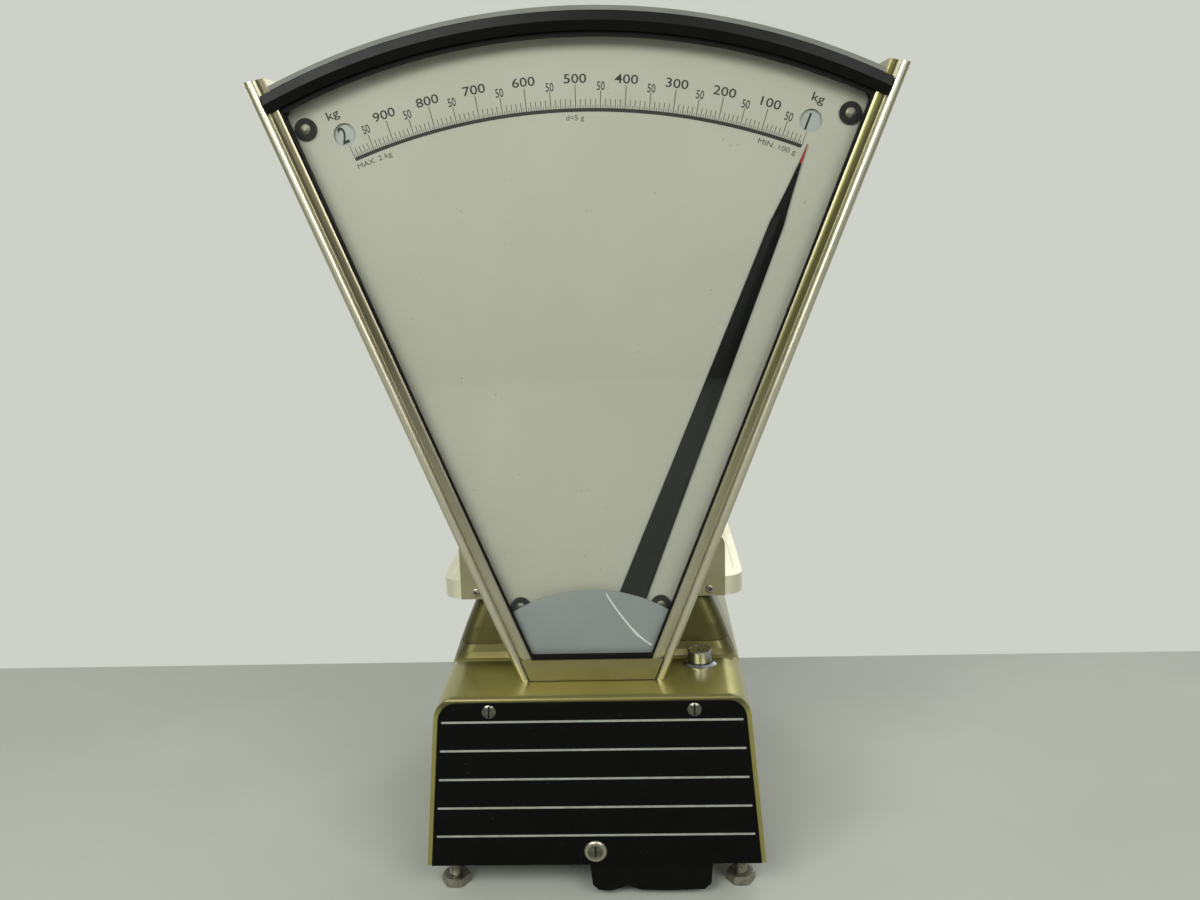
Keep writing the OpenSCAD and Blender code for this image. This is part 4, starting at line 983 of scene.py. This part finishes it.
@dataclass
class PanelStripes:
    """Printed lines across the front panel.

    Attributes:
        drops: Distance of each line below the ledge.
        height: Height of a line.
        ink: Thickness of the ink.
        corner: Rounding of a line's ends, as a share of its height.
        inset: Distance of a line's end from the panel's edge.
        half_low: Half width of the panel at its lower edge.
        half_high: Half width of the panel at the level of the ledge.
    """

    drops: tuple[float, ...] = (0.0178, 0.0402, 0.0630, 0.0859, 0.1087)
    height: float = 0.0016
    ink: float = 0.00008
    corner: float = 0.2
    inset: float = 0.0028
    half_low: float = 0.1226
    half_high: float = 0.1101

    def half(self, z: float) -> float:
        """Half length of a line at this height."""
        share = (z - PANEL_Z) / (LEDGE_Z - PANEL_Z)
        return self.half_low + (self.half_high - self.half_low) * share - self.inset

    def line(self, z: float) -> Piece:
        """Models one line: a flat bar whose ends are rounded.

        Args:
            z: Height of the line.

        Returns:
            The bar.
        """
        bar = block("line", (2 * self.half(z), self.ink, self.height), (0, FRONT_Y - self.ink / 2, z))
        with editing(bar) as mesh:
            for edge in mesh.edges:
                a, b = (v.co for v in edge.verts)
                edge.select_set(abs(a.y - b.y) > self.ink / 2)
            bmesh.update_edit_mesh(bar.data)
            bpy.ops.mesh.bevel(offset=self.height * self.corner, segments=3, affect="EDGES")
        return bar

    def build(self) -> None:
        """Makes the lines as one printed piece."""
        bars = [self.line(LEDGE_Z - drop) for drop in self.drops]
        wear(join(bars, "panel_lines"), SILVER_INK, "housing")


@dataclass
class DialPrint:
    """Graduation and figures on one dial sheet.

    Attributes:
        face: The side of the head.
        radius: Radius of the base line about the pivot.
        line: Thickness of the base line.
        ink: Thickness of the ink.
        sheet: Distance of the dial sheet's face behind the front of the head.
        steps: For each kind of mark its step in grams, its length and its width, the longest first.
        end_mark: Length and width of the first and the last mark.
        taper: Width of a mark's head against its foot.
        bow: How far the marks spread out from the middle, where the pendulum answers most.
        first: Width of the bar that the base line is spun from.
        units: Places of the two units, in degrees from the middle.
        limits: Places of the lowest load, the highest load and the division, in degrees.
    """

    face: Face
    radius: float = 0.42715
    line: float = 0.0024
    ink: float = 0.00006
    sheet: float = 0.0135
    steps: tuple[tuple[int, float, float], ...] = (
        (100, 0.0164, 0.00052), (50, 0.0125, 0.00048), (10, 0.0071, 0.00044), (5, 0.0034, 0.00036),
    )
    end_mark: tuple[float, float] = (0.0098, 0.00038)
    taper: float = 0.8
    bow: float = math.radians(0.5)
    first: float = 0.0002
    units: tuple[float, float] = (20.8, -21.2)
    limits: tuple[float, float, float] = (18.78, -19.3, -0.09)

    @property
    def y(self) -> float:
        """Level of the dial sheet's face."""
        return level(self.face, self.sheet)

    def angle(self, grams: float) -> float:
        """Angle of a load, which grows from the right to the left of the front dial."""
        share = 1 - 2 * grams / FULL_RANGE
        return SCALE_ANGLE * share + self.bow * math.sin(math.pi * share)

    def stand(self, radius: float, angle: float) -> Matrix:
        """Places a flat drawing on the sheet, upright along the line from the pivot."""
        at = Matrix.Translation(polar(radius, angle, self.y + self.face.value * self.ink / 2))
        return at @ Matrix.Rotation(angle, 4, "Y") @ facing(self.face)

    def base_line(self) -> Piece:
        """Models the thick base line: a small bar that is spun about the pivot.

        Returns:
            The curved line.
        """
        bar = block("base_line", (self.first, self.ink, self.line))
        bar.data.transform(self.stand(self.radius, SCALE_ANGLE) @ facing(Face.FRONT).inverted())
        with editing(bar) as mesh:
            pick_faces(bar, mesh, lambda f: f.normal.x < -0.5)
            pivot = (0, self.y, PIVOT_Z)
            bpy.ops.mesh.spin(steps=160, angle=2 * SCALE_ANGLE, center=pivot, axis=(0, 1, 0), dupli=False)
        return clean(bar)

    def row(self, length: float, width: float, grams: Iterable[int], name: str) -> Piece:
        """Models one mark, a bar tapered at its head, and copies it along the scale.

        Args:
            length: Length of the mark.
            width: Width of the mark at its foot, which stands on the base line.
            grams: The loads that get a mark.
            name: Name of the row.

        Returns:
            All the marks of this kind in one piece.
        """
        bar = block("mark", (width, length, self.ink), (0, length / 2, 0))
        with editing(bar) as mesh:
            pick_faces(bar, mesh, lambda f: f.normal.y > 0.5)
            bpy.ops.transform.resize(value=(self.taper, 1, 1))
        return stamp(bar, [self.stand(self.radius, self.angle(g)) for g in grams], name)

    def marks(self) -> list[Piece]:
        """Makes a row for each kind of mark.

        Returns:
            The rows, the one with the two end marks last.
        """
        made = []
        ends = (0, FULL_RANGE)
        taken = set(ends)
        for step, length, width in self.steps:
            grams = [g for g in range(0, FULL_RANGE + 1, step) if g not in taken]
            taken.update(grams)
            made.append(self.row(length, width, grams, "marks"))
        return [*made, self.row(*self.end_mark, ends, "end_marks")]

    def figures(self) -> list[Piece]:
        """Sets the figures of the scale and its generic marks.

        Returns:
            The words, each in its place on the sheet.
        """
        wanted = [(str(g), HUNDREDS, self.angle(g)) for g in range(100, FULL_RANGE, 100)]
        wanted += [("50", FIFTIES, self.angle(g)) for g in range(50, FULL_RANGE, 100)]
        wanted += [("kg", UNIT, math.radians(place)) for place in self.units]
        generic = (("MIN. 100 g", LOWEST), ("MAX. 2 kg", HIGHEST), ("d=5 g", DIVISION))
        wanted += [(*words, math.radians(place)) for words, place in zip(generic, self.limits)]
        made = []
        for words, lettering, angle in wanted:
            made.append(lettering.write(words))
            made[-1].data.transform(self.stand(lettering.radius, angle))
        return made

    def build(self) -> None:
        """Joins the whole print of this side and dresses it in ink."""
        name = f"{self.face.name.lower()}_dial_print"
        wear(join([self.base_line(), *self.marks(), *self.figures()], name), DIAL_INK, "housing")


@dataclass
class RangeFigures:
    """Figures on the plates that slide behind the windows of both dials.

    Attributes:
        rise: Travel of the plates.
        plate: Distance of the plates behind the front of the head.
        shift: How far the figures sit beside the middle of the windows.
        ranges: For each side the figure that shows at rest, and the one below it.
    """

    rise: float = 0.0156
    plate: float = 0.0155
    shift: float = -0.0016
    ranges: tuple[tuple[Side, str, str], ...] = ((Side.LEFT, "2", "1"), (Side.RIGHT, "1", "0"))

    def build(self) -> None:
        """Sets the figures that show at rest, and below them those of the other range."""
        made = []
        for face in Face:
            y = level(face, self.plate - RANGE.ink / 2)
            for side, *figures in self.ranges:
                angle = side.value * SCALE_ANGLE
                for figure, drop in zip(figures, (0.0, self.rise)):
                    words = RANGE.write(figure)
                    words.data.transform(Matrix.Translation((0, -RANGE.height / 2, 0)))
                    at = polar(RANGE.radius, angle, y) + Vector((self.shift, 0, -drop))
                    turned = Matrix.Rotation(angle, 4, "Y") @ facing(face)
                    words.data.transform(Matrix.Translation(at) @ turned)
                    made.append(words)
        wear(join(made, "range_figures"), DIAL_INK, "numbers")


@dataclass
class HubScratch:
    """A long white scratch across the front hub cover, which ends in a chip.

    Attributes:
        path: Points of the scratch in X and in height above the ledge.
        widths: Width of the scratch at each point.
        across: Direction of its width.
        y: Face of the hub cover.
        lift: Distance of the scratch's middle from that face.
        thick: Thickness of the bared layer.
    """

    path: tuple[tuple[float, float], ...] = (
        (0.0115, 0.0655), (0.0140, 0.0610), (0.0180, 0.0545), (0.0222, 0.0482), (0.0278, 0.0405),
        (0.0338, 0.0331), (0.0390, 0.0284), (0.0447, 0.0242),
    )
    widths: tuple[float, ...] = (0.0007, 0.0011, 0.0012, 0.0013, 0.0012, 0.0019, 0.0011, 0.0014)
    across: tuple[float, float, float] = (0.8, 0.0, 0.6)
    y: float = HEAD_Y + 0.008
    lift: float = 0.00004
    thick: float = 0.00006

    def build(self) -> None:
        """Extrudes the scratch point by point from one end, and widens it as it goes."""
        band = blank("hub_scratch")
        points = [Vector((x, self.y - self.lift, LEDGE_Z + z)) for x, z in self.path]
        with editing(band) as mesh:
            half = Vector(self.across) * self.widths[0] / 2
            mesh.edges.new([mesh.verts.new(points[0] + half * sign) for sign in (-1, 1)])
            bmesh.update_edit_mesh(band.data)
            bpy.ops.mesh.select_all(action="SELECT")
            for before, after, old, new in zip(points, points[1:], self.widths, self.widths[1:]):
                bpy.ops.mesh.extrude_region_move(TRANSFORM_OT_translate={"value": after - before})
                bpy.ops.transform.resize(value=(new / old,) * 3, center_override=after)
        band.modifiers.new("layer", "SOLIDIFY").thickness = self.thick
        clean(apply_all(band))
        wear(band, SCRATCH, "housing")


@dataclass
class PointerTip:
    """The folded taper of a pointer, from the shoulder of its blade to its point.

    Attributes:
        face: The side of the head.
        stations: Distance from the pivot and half width, from the blade outwards.
        fold: Half thickness as a share of the half width.
        back: Distance of the tip's middle from the back of the pointer.
    """

    face: Face
    stations: tuple[tuple[float, float], ...] = (
        (0.3660, 0.0046), (0.3745, 0.0049), (0.3850, 0.0037), (0.3960, 0.0026), (0.4070, 0.0017),
        (0.4165, 0.0010), (0.4300, 0.00025),
    )
    fold: float = 0.12
    back: float = 0.0003

    @property
    def node(self) -> str:
        """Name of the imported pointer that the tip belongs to."""
        return f"{self.face.name.lower()}_pointer"

    def build(self) -> None:
        """Extrudes a lozenge from station to station, and narrows it as it goes."""
        low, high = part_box(self.node)
        y = high[1] - self.back if self.face is Face.FRONT else low[1] + self.back
        start, half = self.stations[0]
        deselect()
        bpy.ops.mesh.primitive_circle_add(vertices=4, radius=half, fill_type="NGON", location=(0, 0, start))
        tip = settle(take(self.node + "_tip"))
        tip.data.transform(Matrix.Diagonal((1.0, self.fold, 1.0, 1.0)))
        with editing(tip):
            bpy.ops.mesh.select_all(action="SELECT")
            for (before, old), (after, new) in zip(self.stations, self.stations[1:]):
                step = (0, 0, after - before)
                bpy.ops.mesh.extrude_region_move(TRANSFORM_OT_translate={"value": step})
                bpy.ops.transform.resize(value=(new / old, new / old, 1), center_override=(0, 0, after))
        clean(tip)
        tip.data.transform(Matrix.Translation((0, y, PIVOT_Z)) @ Matrix.Rotation(POINTER_ANGLE, 4, "Y"))
        wear(tip, POINTER_BLACK, "pointer")


@dataclass
class SlotDirt:
    """Dark bars at the bottom of the slots of the panel's screws, as painted shade in the slots.

    Attributes:
        screws: Place of each screw in X and Z, radius of its head, and how far the bottom of its slot
            stands before the panel.
        width: Width of a slot.
        thick: Thickness of a dark bar.
        soft: Rounding of a bar's edges, as a share of its thickness.
    """

    screws: tuple[tuple[float, float, float, float], ...] = (
        (-0.074, LEDGE_Z - 0.0096, 0.0045, 0.0011),
        (0.074, LEDGE_Z - 0.0096, 0.0045, 0.0011),
        (0.0, 0.0395, 0.0042, 0.0014),
    )
    width: float = 0.0012
    thick: float = 0.0002
    soft: float = 0.3

    def build(self) -> None:
        """Models each dark bar of painted shade with rounded edges, and joins them."""
        bars = []
        for x, z, radius, before in self.screws:
            place = (x, FRONT_Y - before - self.thick / 2, z)
            # Each bar is painted shade at the bottom of a slot
            bar = block("dirt", (self.width, self.thick, 2 * radius), place)
            with editing(bar):
                bpy.ops.mesh.select_all(action="SELECT")
                bpy.ops.mesh.bevel(offset=self.thick * self.soft, segments=1, affect="EDGES")
            bars.append(bar)
        wear(join(bars, "slot_dirt"), SLOT_SHADE, "housing")


@dataclass
class LevellingFoot:
    """One foot: a hexagon head that stands on the table, and its threaded stud.

    Attributes:
        row: The front or the rear pair.
        side: The side of the scale.
        flats: Width across the flats.
        head: Height of the head.
        turned_in: How far the head's corners are turned off, inwards.
        turned_down: How far they are turned off, along the axis.
        spare: How far the turned shape reaches past the corners.
        crest: Outer radius of the thread.
        root: Core radius of the thread.
        overlap: How far the core reaches into the thread.
        pitch: Pitch of the thread.
        flank: Height of a flank as a share of the pitch.
        sunk: How far inside the head the thread begins.
        top: Upper end of the stud.
        point: Chamfer at the stud's upper end.
        x: Distance of a foot from the middle.
        rows: Place of each row along Y.
    """

    row: str
    side: Side
    flats: float = 0.019
    head: float = 0.0075
    turned_in: float = 0.0016
    turned_down: float = 0.001
    spare: float = 0.0001
    crest: float = 0.005
    root: float = 0.0042
    overlap: float = 0.00012
    pitch: float = 0.0015
    flank: float = 0.45
    sunk: float = 0.001
    top: float = 0.0425
    point: float = 0.0006
    x: float = 0.109
    rows: dict[str, float] = field(
        default_factory=lambda: {"front": FRONT_Y + 0.024, "rear": -FRONT_Y - 0.0215}
    )

    def hexagon(self) -> Piece:
        """Models the head: a hexagon whose corners are turned off at both ends.

        Returns:
            The head, standing on the table.
        """
        corner = self.flats / 2 / math.cos(math.radians(30))
        head = rod("hexagon", 6, corner, 0, self.head, math.pi / 6)
        turned = rod("turned", 64, corner + self.spare, 0, self.head)
        with editing(turned) as mesh:
            pick_faces(turned, mesh, lambda f: abs(f.normal.z) > 0.9)
            bpy.ops.mesh.inset(thickness=self.turned_in, use_boundary=True)
            mesh = bmesh.from_edit_mesh(turned.data)
            for vertex in mesh.verts:
                vertex.select_set(False)
                if math.hypot(vertex.co.x, vertex.co.y) > corner:
                    vertex.co.z += self.turned_down if vertex.co.z < self.head / 2 else -self.turned_down
            bmesh.update_edit_mesh(turned.data)
        cut = head.modifiers.new("turned", "BOOLEAN")
        cut.operation = "INTERSECT"
        cut.solver = "EXACT"
        cut.object = turned
        apply_all(head)
        bpy.data.objects.remove(turned)
        return head

    def stud(self) -> Piece:
        """Models the thread: its profile is extruded by hand and wound up the stud by a screw modifier.

        Returns:
            The thread, which begins inside the head.
        """
        low = self.head - self.sunk
        profile = blank("thread")
        with editing(profile) as mesh:
            mesh.verts.new((self.root, 0, low)).select_set(True)
            bmesh.update_edit_mesh(profile.data)
            deep, rise = self.crest - self.root, self.pitch * self.flank
            for step in ((deep, 0, rise), (0, 0, self.pitch - 2 * rise), (-deep, 0, rise)):
                bpy.ops.mesh.extrude_region_move(TRANSFORM_OT_translate={"value": step})
        wind = profile.modifiers.new("wind", "SCREW")
        wind.angle = 2 * math.pi
        wind.screw_offset = self.pitch
        wind.iterations = int((self.top - low) / self.pitch) - 1
        wind.steps = wind.render_steps = 32
        wind.use_merge_vertices = True
        return clean(apply_all(profile))

    def core(self) -> Piece:
        """Models the core of the stud with its chamfered point.

        Returns:
            The core, which begins inside the head.
        """
        core = rod("core", 48, self.root + self.overlap, self.head / 2, self.top)
        with editing(core) as mesh:
            pick_faces(core, mesh, lambda f: f.normal.z > 0.9)
            bpy.ops.mesh.bevel(offset=self.point, segments=2, affect="EDGES")
        return core

    def build(self) -> None:
        """Joins head and stud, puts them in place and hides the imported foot."""
        node = f"foot_{self.row}_{self.side.name.lower()}"
        body = f"foot_{self.row[0]}{self.side.name[0].lower()}"
        foot = join([self.hexagon(), self.stud(), self.core()], node + "_threaded")
        foot.data.transform(Matrix.Translation((self.side.value * self.x, self.rows[self.row], 0)))
        select_only([foot])
        bpy.ops.object.shade_smooth_by_angle(angle=math.radians(32))
        wear(foot, ZINC_STEEL, body)
        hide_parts(node)


@dataclass(frozen=True)
class Lamp:
    """A rectangular soft light.

    Attributes:
        name: Its name.
        place: Where it hangs.
        aim: What it points at.
        size: Its two sides.
        watts: Its power.
        tone: Its colour.
    """

    name: str
    place: tuple[float, float, float]
    aim: tuple[float, float, float]
    size: tuple[float, float]
    watts: float
    tone: str = "#ffffff"

    def build(self) -> None:
        """Hangs the lamp and turns it to its aim."""
        data = bpy.data.lights.new(self.name, "AREA")
        data.shape = "RECTANGLE"
        data.size, data.size_y = self.size
        data.energy = self.watts
        data.color = linear(self.tone)[:3]
        lamp = bpy.data.objects.new(self.name, data)
        bpy.context.scene.collection.objects.link(lamp)
        lamp.location = self.place
        lamp.rotation_euler = (Vector(self.aim) - Vector(self.place)).to_track_quat("-Z", "Y").to_euler()


@dataclass
class Studio:
    """Camera, lamps, table and background.

    Attributes:
        pitch: How far the camera looks down, in degrees.
        roll: How far the camera is rolled, in degrees.
        yaw: How far the camera looks to the side, in degrees.
        photo_px: Width of the photograph in pixels.
        focal_px: Focal length in the same pixels.
        sensor_mm: Width of the camera's sensor.
        place: Place of the camera.
        table_size: Width of the table, and how far it reaches to the front.
        table_back: Back edge of the table.
        wall: Colour of the wall behind.
        sky: Colours of the room near the floor and above.
        sky_span: Height of the look at which the sky begins to brighten and is brightest.
        sky_strength: Strength of the light from the room.
        wall_span: How far backwards a mirrored look goes when the wall begins to show, and shows fully.
        lamps: The soft lights.
    """

    pitch: float = 12.24
    roll: float = -1.61
    yaw: float = -1.97
    photo_px: float = 1200
    focal_px: float = 1125.7
    sensor_mm: float = 36
    place: tuple[float, float, float] = (0.0373, FRONT_Y - 0.7501, 0.5056)
    table_size: tuple[float, float] = (5.0, 2.6)
    table_back: float = 0.3005
    wall: str = "#cdd1c8"
    sky: tuple[str, str] = ("#6f716c", "#e6e8e2")
    sky_span: tuple[float, float] = (-0.15, 0.7)
    sky_strength: float = 0.5
    wall_span: tuple[float, float] = (0.1, 0.4)
    lamps: tuple[Lamp, ...] = (
        Lamp("window", (-0.95, -1.9, 1.6), (0.0, -0.08, 0.32), (1.4, 1.0), 45.0, "#fdfff8"),
        Lamp("fill", (1.15, -1.9, 1.6), (0.0, -0.08, 0.32), (1.4, 1.0), 31.0, "#fffefb"),
        Lamp("ceiling", (0.0, 0.1, 2.1), (0.0, 0.0, 0.2), (1.8, 1.2), 2.0),
        Lamp("rear", (0.9, 2.0, 1.75), (0.0, 0.0, 0.3), (1.4, 1.0), 16.0),
    )

    def camera(self) -> None:
        """Sets the camera up as the photograph was taken."""
        p, r, y = (math.radians(v) for v in (self.pitch, self.roll, self.yaw))
        ahead = Vector((math.sin(y) * math.cos(p), math.cos(y) * math.cos(p), -math.sin(p)))
        right = Vector((math.cos(y), -math.sin(y), 0))
        up = right.cross(ahead)
        across = math.cos(r) * right + math.sin(r) * up
        above = -math.sin(r) * right + math.cos(r) * up
        data = bpy.data.cameras.new("camera")
        data.sensor_width = self.sensor_mm
        data.lens = self.focal_px / self.photo_px * self.sensor_mm
        data.clip_start, data.clip_end = 0.01, 50
        camera = bpy.data.objects.new("camera", data)
        bpy.context.scene.collection.objects.link(camera)
        turn = Matrix((across, above, -ahead)).transposed().to_4x4()
        camera.matrix_world = Matrix.Translation(self.place) @ turn
        bpy.context.scene.camera = camera

    def table(self) -> None:
        """Lays the table top, which ends behind the scale where the wall begins."""
        width, front = self.table_size
        deselect()
        bpy.ops.mesh.primitive_grid_add(x_subdivisions=2, y_subdivisions=2, size=1)
        top = take("table_top")
        top.scale = (width, front + self.table_back, 1)
        top.location = (0, (self.table_back - front) / 2, 0)
        settle(top)
        top.data.materials.append(TABLE_TOP.build())

    def world(self) -> None:
        """Lights the room: a plain wall for the camera and a soft sky that is darker towards the floor."""
        world = bpy.data.worlds.new("room")
        world.use_nodes = True
        bpy.context.scene.world = world
        tree = world.node_tree
        tree.nodes.clear()
        way = add_node(tree, "TexCoord").outputs["Generated"]
        axes = add_node(tree, "SeparateXYZ", {0: way}).outputs
        sky = blend(tree, remap(tree, axes[2], self.sky_span), linear(self.sky[0]), linear(self.sky[1]))
        light = add_node(tree, "Background", {"Color": sky, "Strength": self.sky_strength})
        wall = add_node(tree, "Background", {"Color": linear(self.wall), "Strength": 1.0})
        ray = add_node(tree, "LightPath").outputs
        behind = remap(tree, axes[1], self.wall_span)
        mirrored = calculate(tree, "MULTIPLY", ray["Is Glossy Ray"], behind)
        seen = calculate(tree, "MAXIMUM", ray["Is Camera Ray"], ray["Is Transmission Ray"])
        share = calculate(tree, "MAXIMUM", seen, mirrored)
        mixed = add_node(tree, "MixShader", {0: share, 1: light.outputs[0], 2: wall.outputs[0]})
        out = add_node(tree, "OutputWorld", {"Surface": mixed.outputs[0]})
        out.is_active_output = True

    def build(self) -> None:
        """Sets up the whole studio at a plain level of light."""
        self.camera()
        self.table()
        self.world()
        for lamp in self.lamps:
            lamp.build()
        bpy.context.scene.view_settings.view_transform = "Standard"


def main() -> None:
    """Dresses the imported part, adds the fine pieces and sets up the studio."""
    logging.basicConfig(level=logging.INFO, format="%(message)s")
    deselect()
    CadDress().build()
    PanelStripes().build()
    for face in Face:
        DialPrint(face).build()
    RangeFigures().build()
    HubScratch().build()
    SlotDirt().build()
    for face in Face:
        PointerTip(face).build()
    for row in ("front", "rear"):
        for side in Side:
            LevellingFoot(row, side).build()
    Studio().build()
    deselect()


if __name__ == "__main__":
    main()
